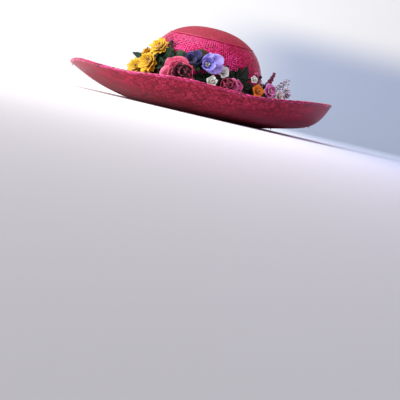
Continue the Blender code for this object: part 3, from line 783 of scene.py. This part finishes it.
# the rim's colour again at every petal's tip, even on the darkest inner petals, where it is painted
# highlight along their edges
colour = blend(ramp(reach, 0.86, 1.02) * 0.45, colour, rim)
shade = (0.75 - (veins * 0.6 + clouds * 0.5)) * given["Veins"]
colour = blend(ramp(shade, 0.0, 0.5), colour, (0.45, 0.38, 0.45), "MULTIPLY")
add_node(cloth_group, "NodeGroupOutput", {"Color": colour, "Height": veins * 0.8 + thread * 0.35})


def cloth_material(name, root, blade, rim, veins=0.5, sheen=0.25):
    """Tinted cloth: the shared petal look in its own colours."""
    made, shader, _ = look_material(name, cloth_group, {
        "Root": root, "Blade": blade, "Rim": rim, "Veins": veins}, CLOTH_BUMP, toned=True)
    set_inputs(shader, {"Roughness": 0.65, "Sheen Weight": sheen, "Specular IOR Level": 0.3})
    return made


# colours of the root, blade and rim, and how strongly the veins show
CLOTHS = {name: cloth_material(name + "_cloth", *row) for name, *row in (
    ("yellow", (0.34, 0.075, 0.002), (0.70, 0.40, 0.004), (0.78, 0.56, 0.012)),
    ("orange", (0.40, 0.10, 0.004), (0.82, 0.29, 0.008), (0.88, 0.46, 0.02)),
    # nearly black root: painted shade in the pink rose's middle
    ("rose_pink", (0.018, 0.001, 0.003), (0.78, 0.065, 0.18), (0.94, 0.20, 0.34), 0.25),
    ("rose_red", (0.22, 0.002, 0.012), (0.46, 0.012, 0.045), (0.66, 0.13, 0.36)),
    ("pink", (0.35, 0.02, 0.10), (0.70, 0.11, 0.33), (0.82, 0.36, 0.52)),
    ("blue", (0.035, 0.030, 0.20), (0.17, 0.17, 0.62), (0.44, 0.40, 0.84)),
    ("violet", (0.004, 0.004, 0.016), (0.010, 0.010, 0.075), (0.05, 0.05, 0.26)),
    ("lavender", (0.40, 0.04, 0.20), (0.66, 0.20, 0.50), (0.62, 0.46, 0.76)),
    ("white", (0.34, 0.46, 0.22), (0.70, 0.82, 0.76), (0.86, 0.92, 0.94), 0.25),
    ("mauve", (0.06, 0.010, 0.012), (0.16, 0.035, 0.045), (0.26, 0.07, 0.09)),
    ("mauve_pink", (0.16, 0.02, 0.06), (0.34, 0.05, 0.13), (0.52, 0.14, 0.26)),
    ("plum", (0.04, 0.006, 0.010), (0.12, 0.015, 0.03), (0.24, 0.04, 0.08)),
    ("grey_mauve", (0.30, 0.22, 0.28), (0.60, 0.52, 0.64), (0.86, 0.84, 0.92)),
)}
stamen_thread = cloth_material("stamen_thread", (0.50, 0.50, 0.16), (0.80, 0.80, 0.52), (0.90, 0.90, 0.72))
cup_cloth = cloth_material(
    "cup_cloth", (0.010, 0.028, 0.010), (0.020, 0.055, 0.020), (0.05, 0.09, 0.03), sheen=0.05)

# height: share of the hat's height. stand: the centre's distance from the crown as a share of
# GARLAND_DEPTH. size: share of the kind's diameter. turn and tilt: degrees that the flower faces round
# the hat and upwards from straight out. lean and lean_at: how much longer its petals are on one side,
# and on which. The last, the painted highlight: how far that side's outer petals take the rim's colour.
Flower = namedtuple(
    "Flower", "name kind angle height stand size turn tilt colour spin lean lean_at accent",
    defaults=(0, 0.0, 180, 0.0))
FLOWERS = (
    Flower("yellow_bloom_1", "jonquil", -122, 0.370, 0.38, 0.98, 34, 16, "yellow", 10, 0.20, 185),
    Flower("yellow_bloom_2", "jonquil", -101.5, 0.440, 0.36, 1.12, 14, 6, "yellow", 0, 0.20, 215),
    Flower("yellow_bloom_3", "jonquil", -99, 0.620, 0.22, 1.04, 10, 20, "yellow", 25, 0.14, 175),
    Flower("rose_pink", "rose", -71.5, 0.395, 0.48, 1.00, 12, 8, "rose_pink", 0, 0.25, 203, 1.0),
    Flower("violet_bloom", "pansy_dark", -64.5, 0.580, 0.16, 0.86, 0, 8, "violet", 40, 0.22, 60),
    Flower("pansy_blue", "pansy", -48.5, 0.560, 0.30, 1.10, -6, 6, "blue", 20, 0.28, 28, 0.6),
    Flower("white_bloom_1", "blossom", -46.5, 0.395, 0.42, 0.92, -6, 6, "white"),
    Flower("white_bloom_2", "blossom", -36.5, 0.515, 0.20, 1.05, -4, 10, "white", 20),
    Flower("rose_red", "rosebud", -32.5, 0.390, 0.43, 0.62, -14, 8, "rose_red", 0, 0.08, -20, 0.9),
    Flower("pink_bloom", "blossom", -21, 0.395, 0.26, 1.20, -8, 4, "pink"),
    Flower("white_bloom_3", "blossom", -1, 0.515, 0.28, 0.66, -20, 12, "white"),
    Flower("orange_bloom", "blossom", 2.5, 0.410, 0.42, 1.06, -28, 8, "orange"),
    Flower("lavender_bloom", "pansy", 14.5, 0.440, 0.60, 0.80, -28, 10, "lavender", 30),
    Flower("white_bloom_4", "blossom", 22, 0.410, 0.84, 0.90, -30, 6, "white", 40),
)
# the plain repeats round the back: kind, size, colour
BACK_KINDS = (
    ("pansy", 1.20, "blue"), ("rose", 0.72, "rose_pink"), ("blossom", 1.50, "white"),
    ("jonquil", 1.20, "yellow"), ("rosebud", 0.66, "rose_red"), ("pansy", 1.10, "lavender"),
    ("blossom", 1.50, "orange"), ("jonquil", 0.95, "yellow"),
)
BACK_FROM, BACK_TO = 62, 204
BACK_STEP = (BACK_TO - BACK_FROM) / (len(BACK_KINDS) - 1)
BACK_HEIGHTS = (0.40, 0.52)
BACK_STAND, BACK_TILT, BACK_SPIN = 0.28, 12, 31


def build_flower(row):
    diameter, layers, stamens = KINDS[row.kind]
    radius = diameter * row.size / 2
    seat, out, _, _ = wall_frame(row.angle, HAT_HEIGHT * row.height)
    centre = seat + out * GARLAND_DEPTH * row.stand
    facing = Quaternion(UP, math.radians(row.turn)) @ out
    facing = Quaternion(UP.cross(facing).normalized(), math.radians(-row.tilt)) @ facing
    right = UP.cross(facing).normalized()
    top = facing.cross(right)
    pose = Pose(centre, right, top, facing)
    rng = random.Random(row.name)
    flower = Assembly()
    flower.petals(layers, pose, radius, rng, row.spin, row.lean, row.lean_at, row.accent)
    flower.petals(SEPALS, pose, radius, rng, slot=1, rows=5, columns=5)
    start = seat + out * SEAT_GAP
    end = centre - facing * radius * CUP_FOOT
    bend = start + (centre - start) * NECK_BEND
    places = np.linspace(0, 1, len(NECK_SHARES) + 1)
    path = [start.lerp(bend, t).lerp(bend.lerp(end, t), t) for t in places]
    path.append(centre - facing * radius * CUP_TOP)
    neck_radii = [NECK_RADIUS * share for share in NECK_SHARES]
    flower.cord(path, [*neck_radii, max(NECK_RADIUS, radius * CUP_RADIUS), radius * CUP_END],
                sides=8, slot=1)
    lean_angle = math.radians(row.lean_at)
    core = centre - (right * math.cos(lean_angle) + top * math.sin(lean_angle)) * (
        CORE_SHIFT * row.lean * radius)
    for k in range(stamens):
        angle = 2 * math.pi * k / stamens + rng.uniform(*STAMEN_TURN)
        sideways = right * math.cos(angle) + top * math.sin(angle)
        aside = sideways * radius * rng.uniform(*STAMEN_ASIDE)
        foot = core + aside * STAMEN_FOOT
        tip = core + aside + facing * radius * rng.uniform(*STAMEN_HEIGHT)
        flower.cord([foot.lerp(tip, t) for t in STAMEN_PLACES], STAMEN_RADII, sides=5,
                    tone=STAMEN_TONE, slot=2)
    made = flower.make(row.name.replace("bloom", "flower") + "_petals",
                       [CLOTHS[row.colour], cup_cloth, stamen_thread])
    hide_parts(row.name)


for row in FLOWERS:
    build_flower(row)
for k, (kind, size, colour) in enumerate(BACK_KINDS):
    build_flower(Flower(
        f"back_bloom_{k + 1}", kind, BACK_FROM + BACK_STEP * k, BACK_HEIGHTS[k % 2], BACK_STAND, size, 0,
        BACK_TILT, colour, BACK_SPIN * k))


# Buds and sprigs
# Closed buds on thin covered wire, and at the left of the garland three bushy sprigs: a wire with
# side twigs, each ending in a tiny four-petalled floret or a bead of flock.

BUD_RADIUS = 0.004
BUD_PETALS = (
    Whorl(4, 0, 0.10, -1.0, 2.4, 1.9, 74, 0.5, 0.75, 0.0, 0.1),
    Whorl(3, 40, 0.05, -0.9, 2.3, 1.5, 82, 0.5, 0.55, 0.0, 0.5),
)
FLORET = (Whorl(4, 0, 0.10, 0.0, 1.0, 0.9, 25, 0.2, -0.3, 0.0, 0.0),)
# reach, rise and side: where the tip is from the seat, outwards, upwards and round the hat, as shares
# of GARLAND_DEPTH
Stalk = namedtuple("Stalk", "name kind angle height reach rise side size colour")
STALKS = (
    Stalk("mauve_bud", "bud", -90, 0.660, 0.14, 0.16, -0.02, 1.10, "mauve"),
    Stalk("pink_bud", "bud", 9, 0.520, 0.14, 0.26, -0.04, 0.95, "pink"),
    Stalk("plum_bud", "bud", 22, 0.480, 0.08, 0.44, 0.02, 0.72, "plum"),
    Stalk("bud_spike", "spike", 33, 0.420, 0.40, 0.64, -0.10, 0.90, "mauve_pink"),
    Stalk("sprig_1", "sprig", 33, 0.350, 0.96, 0.46, 0.02, 1.00, "grey_mauve"),
    Stalk("sprig_2", "sprig", 40, 0.400, 0.84, 0.60, 0.10, 1.00, "grey_mauve"),
    Stalk("sprig_3", "sprig", 46, 0.340, 1.00, 0.32, 0.08, 1.00, "grey_mauve"),
)
STALK_OUTWARD, STALK_UPWARD = 0.7, 1.6      # powers of the way along, so a stalk bends upwards
STEM_ENDS = {"bud": 0.62, "spike": 0.96, "sprig": 0.98}
STEM_RADII = np.linspace(0.0011, 0.0005, 9)
THIN_STEM = 0.9             # of the spike and the sprigs, as a share of a bud's stem
BUD_CENTRE, BUD_AIM, BUD_CUP = 0.72, 0.70, 0.58         # shares of the way along the stalk
BUD_CUP_SIZE, BUD_CUP_LIFT = 1.5, 0.5       # shares of a bud's radius
# the spike's buds, by levels from the lowest: their place along it, how far they lean out, and their
# size as a share of a bud's
SPIKE_LEVELS = list(zip(np.linspace(0.38, 1.0, 9), np.linspace(0.70, 0.10, 9), np.linspace(0.90, 0.46, 9)))
SPIKE_AROUND, SPIKE_TURN = (0, 2.1, 4.2), 1.1           # radians, on a level and from one to the next
SPIKE_ASIDE, SPIKE_AHEAD = 0.32, 0.50       # of a bud's centre, as shares of its radius
SPRIG_TWIGS = 22
TWIGS_FROM, TWIGS_TO = 0.36, 0.98
TWIG_TURN, TWIG_TURN_RANGE = 2.4, (-0.4, 0.4)           # radians from one twig to the next
TWIG_AHEAD, TWIG_ASIDE, TWIG_UPWARD = (0.5, 1.0), 0.9, 0.25
TWIG_LENGTHS = (0.003, 0.0075)
TWIG_PLACES = (0, 0.5, 1.0)
TWIG_RADII = (0.00035, 0.0003, 0.0003)
BEAD_EVERY = 3              # one twig in so many ends in a bead, and the others in a floret
BEAD_PLACES = (-0.0004, 0.0004, 0.0018, 0.0027)
BEAD_RADII = (0.0005, 0.0014, 0.0012, 0.0004)
BEAD_TONES = (0.7, 0.2)
FLORET_RADII = (0.0026, 0.0038)
FLORET_TILT = 0.3

for row in STALKS:
    seat, out, round_way, up = wall_frame(row.angle, HAT_HEIGHT * row.height)
    rng = random.Random(row.name)

    def place(share):
        offset = (out * row.reach * share ** STALK_OUTWARD + up * row.rise * share ** STALK_UPWARD
                  + round_way * row.side * share)
        return seat + out * SEAT_GAP + offset * GARLAND_DEPTH

    def pose_at(share):
        facing = (place(share + SHARE_STEP) - place(share - SHARE_STEP)).normalized()
        right = facing.cross(round_way).normalized()
        return Pose(place(share), right, facing.cross(right).normalized(), facing)

    stalk = Assembly()
    path = [place(share) for share in np.linspace(0, STEM_ENDS[row.kind], len(STEM_RADII))]
    stalk.cord(path, STEM_RADII * (1.0 if row.kind == "bud" else THIN_STEM), slot=1)
    radius = BUD_RADIUS * row.size
    if row.kind == "bud":
        pose = pose_at(BUD_AIM)
        stalk.petals(BUD_PETALS, pose._replace(centre=place(BUD_CENTRE)), radius, rng)
        cup = pose._replace(centre=place(BUD_CUP) + pose.facing * radius * BUD_CUP_LIFT)
        stalk.petals(SEPALS, cup, radius * BUD_CUP_SIZE, rng, slot=1, rows=4, columns=3)
    elif row.kind == "spike":
        for number, (share, lean, size) in enumerate(SPIKE_LEVELS):
            pose = pose_at(share)
            for around in SPIKE_AROUND:
                angle = around + number * SPIKE_TURN
                sideways = pose.right * math.cos(angle) + pose.top * math.sin(angle)
                aim = (pose.facing + sideways * lean).normalized()
                across = aim.cross(sideways).normalized()
                centre = pose.centre + sideways * radius * SPIKE_ASIDE + aim * radius * SPIKE_AHEAD
                stalk.petals(BUD_PETALS[:1], Pose(centre, across, aim.cross(across), aim),
                             radius * size, rng, rows=4, columns=5)
    else:
        for k in range(SPRIG_TWIGS):
            pose = pose_at(TWIGS_FROM + (TWIGS_TO - TWIGS_FROM) * k / (SPRIG_TWIGS - 1))
            angle = TWIG_TURN * k + rng.uniform(*TWIG_TURN_RANGE)
            sideways = pose.right * math.cos(angle) + pose.top * math.sin(angle)
            ahead = pose.facing * rng.uniform(*TWIG_AHEAD)
            aim = (ahead + sideways * TWIG_ASIDE + up * TWIG_UPWARD).normalized()
            start = pose.centre
            end = start + aim * rng.uniform(*TWIG_LENGTHS)
            stalk.cord([start.lerp(end, t) for t in TWIG_PLACES], TWIG_RADII, sides=4, slot=1)
            across = aim.cross(pose.facing + sideways * FLORET_TILT).normalized()
            if k % BEAD_EVERY == BEAD_EVERY - 1:
                stalk.cord([end + aim * along for along in BEAD_PLACES], BEAD_RADII,
                           tone=rng.choice(BEAD_TONES))
            else:
                stalk.petals(FLORET, Pose(end, across, aim.cross(across), aim),
                             rng.uniform(*FLORET_RADII), rng, spin=rng.uniform(0, 90), rows=4, columns=3)
    made = stalk.make(row.name + "_cloth", [CLOTHS[row.colour], cup_cloth])
    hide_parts(row.name)
    "pink" if row.kind == "spike" else row.colour


# Leaves
# Waxed cloth leaves, wired in between the flowers: dark green, with a few olive ones. Their veins
# are pressed in. They lie along the crown from their stem ends, and small ones fill the gaps.

LEAF_LENGTH = 0.034
LEAF_WIDTH = 0.016
LEAF_THICKNESS = 0.001      # of the solid leaf, which the cloth lies in the middle of
LEAF_SHEET = 0.0005
LEAF_FOLD = 0.25            # how far a leaf's edges rise, as a share of half its width
LEAF_BEND = 1.5             # above 1 a leaf stands away from the crown mostly at its tip
LEAF_ROWS, LEAF_COLUMNS = 15, 9
SIDE_VEINS = 6
VEIN_SLANT = 1.6
VEIN_RELIEF, LEAF_WAVE, LEAF_SCALLOP = 0.00016, 0.0004, 0.05
LEAF_WAVES, LEAF_SCALLOPS = 4, 9            # half waves along a leaf
# along and width: shares of the leaf's length and width
LEAF_OUTLINE = ((0.00, 0.16), (0.18, 0.66), (0.42, 1.00), (0.68, 0.84), (0.88, 0.42), (1.00, 0.06))
OUTLINE_STEPS, ROUNDED_OVER = 41, 7         # steps of the outline, and over how many it is rounded
leaf_place = np.linspace(0, 1, OUTLINE_STEPS)
leaf_width = np.pad(np.interp(leaf_place, *zip(*LEAF_OUTLINE)), ROUNDED_OVER // 2, mode="edge")
leaf_width = np.convolve(leaf_width, np.ones(ROUNDED_OVER) / ROUNDED_OVER, mode="valid")

# heading: degrees from round the hat towards straight up. lift: how far the tip stands out, as a share
# of GARLAND_DEPTH.
Leaf = namedtuple("Leaf", "name angle height heading length width lift colour", defaults=("dark_green",))


def leaf_points(leaf, rows, columns):
    """A leaf's lattice of points, wrapped round the crown from its stem end."""
    length, width = LEAF_LENGTH * leaf.length, LEAF_WIDTH * leaf.width
    heading = math.radians(leaf.heading)
    height = HAT_HEIGHT * leaf.height
    radius = float(ellipse_radius(leaf.angle, CROWN_LENGTH, CROWN_WIDTH) * dome_share(height))
    points = np.empty((rows, columns, 3))
    for i, t in enumerate(np.linspace(0, 1, rows)):
        scallop = 1 + LEAF_SCALLOP * math.sin(LEAF_SCALLOPS * math.pi * t)
        half = width / 2 * np.interp(t, leaf_place, leaf_width) * scallop
        for j, s in enumerate(np.linspace(-1, 1, columns)):
            along, across = length * t, half * s
            round_way = along * math.cos(heading) - across * math.sin(heading)
            climb = along * math.sin(heading) + across * math.cos(heading)
            seat, out, _, _ = wall_frame(leaf.angle + math.degrees(round_way / radius), height + climb)
            side_vein = math.cos(2 * math.pi * (SIDE_VEINS * t + VEIN_SLANT * abs(s)))
            stand = (SEAT_GAP + LEAF_THICKNESS / 2 + LEAF_FOLD * abs(across)
                     + GARLAND_DEPTH * leaf.lift * t ** LEAF_BEND
                     + VEIN_RELIEF * side_vein * (1 - s * s)
                     + LEAF_WAVE * math.sin(LEAF_WAVES * math.pi * t + leaf.angle) * s)
            points[i, j] = seat + out * stand
    return points


# The shared look of waxed cloth: a paler middle rib and side veins, on a blade that turns another
# green in spots.
LEAF_SPOTS = 140.0
LEAF_BUMP = 0.0004

leaf_group, given = node_group(
    "waxed_leaf",
    {"Place": None, "Tone": 0.0, "Blade": (0.02, 0.07, 0.03), "Vein": (0.1, 0.2, 0.08),
     "Edge": (0.05, 0.1, 0.03)},
    ("Color", "Roughness", "Height"))
across, along, _ = separate(given["Place"])
off_rib = (across - 0.5).apply("ABSOLUTE")
rib = ramp(off_rib, 0.055, 0.015)
vein_turn = (along * SIDE_VEINS + off_rib * 2 * VEIN_SLANT) * (2 * math.pi)
side_veins = ramp(vein_turn.apply("COSINE"), 0.86, 1.0)
spots = noise(object_place(leaf_group), LEAF_SPOTS, 3.0, 0.6)
colour = blend(ramp(spots, 0.40, 0.70), given["Blade"], given["Edge"])
colour = blend(side_veins * 0.35, colour, given["Vein"])
colour = blend(rib * 0.6, colour, given["Vein"])
colour = blend(given["Tone"], colour, given["Edge"])
add_node(leaf_group, "NodeGroupOutput", {
    "Color": colour, "Roughness": spots * 0.4 + 0.38, "Height": spots * 0.5 - (rib + side_veins * 0.6)})


def leaf_material(name, blade, vein, edge):
    made, shader, shown = look_material(
        name, leaf_group, {"Blade": blade, "Vein": vein, "Edge": edge}, LEAF_BUMP, toned=True)
    set_inputs(shader, {"Roughness": shown["Roughness"], "Specular IOR Level": 0.25})
    return made


LEAF_CLOTHS = {name: leaf_material(name + "_leaf_cloth", *row) for name, *row in (
    ("dark_green", (0.005, 0.020, 0.010), (0.03, 0.08, 0.03), (0.010, 0.032, 0.013)),
    ("olive", (0.026, 0.036, 0.010), (0.08, 0.10, 0.04), (0.018, 0.028, 0.008)),
    ("olive_brown", (0.050, 0.028, 0.012), (0.10, 0.07, 0.03), (0.020, 0.022, 0.008)),
)}
BACK_LEAF_HEADINGS = (60, 120)
BACK_LEAF_LENGTH, BACK_LEAF_WIDTH, BACK_LEAF_LIFT = 0.8, 0.9, 0.10
UNDER_LEAVES = 10
UNDER_LEAF_HEIGHT, UNDER_LEAF_HEADING, UNDER_LEAF_LIFT = 0.20, -25, 0.40
LEAVES = [
    Leaf("leaf_1", -125, 0.480, 174, 0.90, 0.62, 0.60),
    Leaf("leaf_2", -129, 0.400, 150, 0.60, 0.80, 0.20),
    Leaf("leaf_3", -82, 0.440, 172, 0.74, 1.20, 0.10),
    Leaf("leaf_4", -61, 0.405, -2, 0.60, 1.00, 0.14),
    Leaf("leaf_5", -16, 0.495, 158, 0.60, 0.80, 0.08),
    Leaf("leaf_6", -13, 0.440, 68, 0.90, 1.20, 0.06),
    Leaf("leaf_7", -14, 0.360, 20, 0.62, 1.10, 0.12),
    Leaf("leaf_8", -116, 0.345, 0, 0.74, 1.00, 0.10),
    Leaf("olive_leaf_1", -86, 0.580, 6, 0.84, 1.05, 0.06, "olive"),
    Leaf("olive_leaf_2", -68, 0.660, 2, 0.84, 0.84, 0.03, "olive_brown"),
    Leaf("olive_leaf_3", -89, 0.540, 72, 0.50, 0.84, 0.06, "olive"),
]
for k in range(len(BACK_KINDS) - 1):
    LEAVES.append(Leaf(
        f"back_leaf_{k + 1}", BACK_FROM + BACK_STEP * (k + 0.5), BACK_HEIGHTS[1], BACK_LEAF_HEADINGS[k % 2],
        BACK_LEAF_LENGTH, BACK_LEAF_WIDTH, BACK_LEAF_LIFT))
for k in range(UNDER_LEAVES):
    LEAVES.append(Leaf(
        f"under_leaf_{k + 1}", 360 * k / UNDER_LEAVES, UNDER_LEAF_HEIGHT, UNDER_LEAF_HEADING, 1.0, 1.0,
        UNDER_LEAF_LIFT))
for row in LEAVES:
    leaf = Assembly()
    leaf.sheet(leaf_points(row, LEAF_ROWS, LEAF_COLUMNS), LEAF_SHEET)
    made = leaf.make(row.name + "_cloth", [LEAF_CLOTHS[row.colour]])
    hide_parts(row.name)

# the small leaves that fill the gaps, by stretches round the hat
Stretch = namedtuple("Stretch", "start end count low high")
SMALL_LEAVES = (
    Stretch(0, 360, 110, 0.27, 0.44), Stretch(-112, -84, 26, 0.38, 0.52),
    Stretch(-84, -54, 18, 0.42, 0.56), Stretch(-44, -6, 16, 0.36, 0.50),
)
SMALL_ROWS, SMALL_COLUMNS = 8, 5
SMALL_HEADINGS, SMALL_LIFTS = (-70, 250), (0.05, 0.30)
SMALL_LENGTHS, SMALL_WIDTHS = (0.40, 0.66), (0.60, 0.95)
SMALL_TONES = (0, 0.5)
SMALL_SEED = 7
rng = random.Random(SMALL_SEED)
filler = Assembly()
for stretch in SMALL_LEAVES:
    for k in range(stretch.count):
        degrees = stretch.start + (stretch.end - stretch.start) * (k + rng.uniform(0, 1)) / stretch.count
        leaf = Leaf(
            "small_leaf", degrees, rng.uniform(stretch.low, stretch.high), rng.uniform(*SMALL_HEADINGS),
            rng.uniform(*SMALL_LENGTHS), rng.uniform(*SMALL_WIDTHS), rng.uniform(*SMALL_LIFTS))
        filler.sheet(leaf_points(leaf, SMALL_ROWS, SMALL_COLUMNS), LEAF_SHEET,
                     tone=rng.uniform(*SMALL_TONES))
made = filler.make("small_leaves", [LEAF_CLOTHS["dark_green"]])


# Stray straw ends
# Three clipped ends of the brim's straw that have sprung out of its underside, one near the back
# left of the rim and two along the right.

STRAY_ENDS = ((-140, 1.00, 0.0050), (40, 0.20, 0.0030), (37, 0.75, 0.0045))     # angle, share, length
STRAY_PLACES = (-0.1, 0.5, 1.0)
STRAY_RADII = (0.0007, 0.0006, 0.0004)
STRAY_OUTWARD, STRAY_DOWNWARD = 0.5, 0.85

ends = Assembly()
for degrees, share, length in STRAY_ENDS:
    foot, ahead = (Vector(point) for point in brim_points(degrees, (share, share + SHARE_STEP)))
    pointing = (ahead - foot).normalized() * STRAY_OUTWARD - UP * STRAY_DOWNWARD
    ends.cord([foot + pointing * length * t for t in STRAY_PLACES], STRAY_RADII)
made = ends.make("stray_ends", [brim_weave.data.materials[0]])


# Stage
# A pale floor that curves up into a backdrop, with a blue-grey shadow painted on it behind the right
# of the hat. A large soft light from the low left, one from above, a small pinkish one from the upper
# right, one for the backdrop, and the camera.

CAMERA_ANGLE = 38
CAMERA_DISTANCE = 2.2
CAMERA_HEIGHT = 0.022
CAMERA_ROLL = 13.2
CAMERA_LENS = 123.75
CAMERA_NEAR = 0.01          # so that the floor shows right up to the camera
FRAME_WIDTH = 400
ORIGIN_PIXEL = (195.0, 113.9)       # where the middle of the hat's foot lies in the picture
AIM_STEPS = 12
STAGE_REACH = 4.5           # to each side and in front
STAGE_BACK = 2.2
STAGE_BEND, BEND_STEPS = 1.0, 12
STAGE_TOP = 3.0
# the floor's colour, and the blue-grey of the shadow painted on the backdrop
FLOOR_COLOUR, SHADOW_COLOUR = (0.86, 0.86, 0.86), (0.40, 0.46, 0.60)
SHADOW_RIGHTWARD, SHADOW_UPWARD = (-0.10, 0.36), (0.42, 0.24)       # metres over which it sets in
HAT_MIDDLE = (0, 0, 0.06)
# place and aim: to the right, towards the camera and up, from the middle of the floor
Light = namedtuple("Light", "name place aim size power colour", defaults=((1, 1, 1),))
LIGHTS = (
    Light("key_light", (-1.6, 0.9, 0.6), HAT_MIDDLE, (0.8, 1.1), 52),
    Light("top_light", (-0.4, 0.2, 1.8), HAT_MIDDLE, (1.6, 1.6), 20),
    Light("window_light", (1.25, 1.15, 1.05), HAT_MIDDLE, (0.16, 0.22), 15, (1.0, 0.66, 0.94)),
    Light("backdrop_light", (-1.2, -0.6, 2.2), (-0.6, -3.0, 0.6), (2.0, 1.0), 60),
)
SKY_COLOUR, SKY_STRENGTH = (0.90, 0.94, 1.0), 0.24

view_angle = math.radians(CAMERA_ANGLE)
to_right = Vector((math.cos(view_angle), math.sin(view_angle), 0))
to_camera = Vector((math.sin(view_angle), -math.cos(view_angle), 0))


def stage_point(right, near, height):
    return to_right * right + to_camera * near + UP * height


profile = [(-STAGE_REACH, 0.0), (STAGE_BACK, 0.0)]
for k in range(1, BEND_STEPS + 1):
    bend = math.pi / 2 * k / BEND_STEPS
    profile.append((STAGE_BACK + STAGE_BEND * math.sin(bend), STAGE_BEND * (1 - math.cos(bend))))
profile.append((STAGE_BACK + STAGE_BEND, STAGE_TOP))
points = [tuple(stage_point(STAGE_REACH * side, -distance, height))
          for distance, height in profile for side in (-1, 1)]
mesh = bpy.data.meshes.new("backdrop")
mesh.from_pydata(points, [], [
    (2 * k, 2 * k + 1, 2 * k + 3, 2 * k + 2) for k in range(len(profile) - 1)])
mesh.shade_smooth()
backdrop = bpy.data.objects.new("backdrop", mesh)
bpy.context.scene.collection.objects.link(backdrop)
paper = bpy.data.materials.new("backdrop_paper")
paper.use_nodes = True
place = object_place(paper.node_tree)
rightward = output(paper.node_tree, "ShaderNodeVectorMath", {0: place, 1: to_right}, socket="Value",
                   operation="DOT_PRODUCT")
# painted shadow: blue-grey towards the right and low on the backdrop
painted_shadow = ramp(rightward, *SHADOW_RIGHTWARD) * ramp(separate(place)[2], *SHADOW_UPWARD)
set_inputs(paper.node_tree.nodes["Principled BSDF"], {
    "Base Color": blend(painted_shadow, FLOOR_COLOUR, SHADOW_COLOUR), "Roughness": 0.9, "Specular IOR Level": 0.1})
mesh.materials.append(paper)

for row in LIGHTS:
    light = bpy.data.lights.new(row.name, "AREA")
    light.shape = "RECTANGLE"
    light.size, light.size_y = row.size
    light.energy = row.power
    light.color = row.colour
    made = bpy.data.objects.new(row.name, light)
    made.location = stage_point(*row.place)
    made.rotation_mode = "QUATERNION"
    toward = stage_point(*row.aim) - stage_point(*row.place)
    made.rotation_quaternion = toward.to_track_quat("-Z", "Y")
    bpy.context.scene.collection.objects.link(made)
world = bpy.data.worlds.new("studio")
bpy.context.scene.world = world
world.use_nodes = True
set_inputs(world.node_tree.nodes["Background"], {"Color": SKY_COLOUR, "Strength": SKY_STRENGTH})

bpy.context.scene.view_settings.view_transform = "Standard"

camera_data = bpy.data.cameras.new("camera")
camera_data.lens = CAMERA_LENS
camera_data.clip_start = CAMERA_NEAR
camera = bpy.data.objects.new("camera", camera_data)
bpy.context.scene.collection.objects.link(camera)
bpy.context.scene.camera = camera
eye = stage_point(0, CAMERA_DISTANCE, CAMERA_HEIGHT)
pixels = CAMERA_LENS / camera_data.sensor_width * FRAME_WIDTH
wanted = Vector((
    (ORIGIN_PIXEL[0] - FRAME_WIDTH / 2) / pixels, (FRAME_WIDTH / 2 - ORIGIN_PIXEL[1]) / pixels, -1))
wanted.normalize()
roll = Quaternion((0, 0, 1), math.radians(CAMERA_ROLL))
turned = (-eye).to_track_quat("-Z", "Y") @ roll
for _ in range(AIM_STEPS):
    off = (turned @ wanted).rotation_difference(-eye)
    aim = off @ (turned @ Vector((0, 0, -1)))
    turned = aim.to_track_quat("-Z", "Y") @ roll
camera.location = eye
camera.rotation_mode = "QUATERNION"
camera.rotation_quaternion = turned
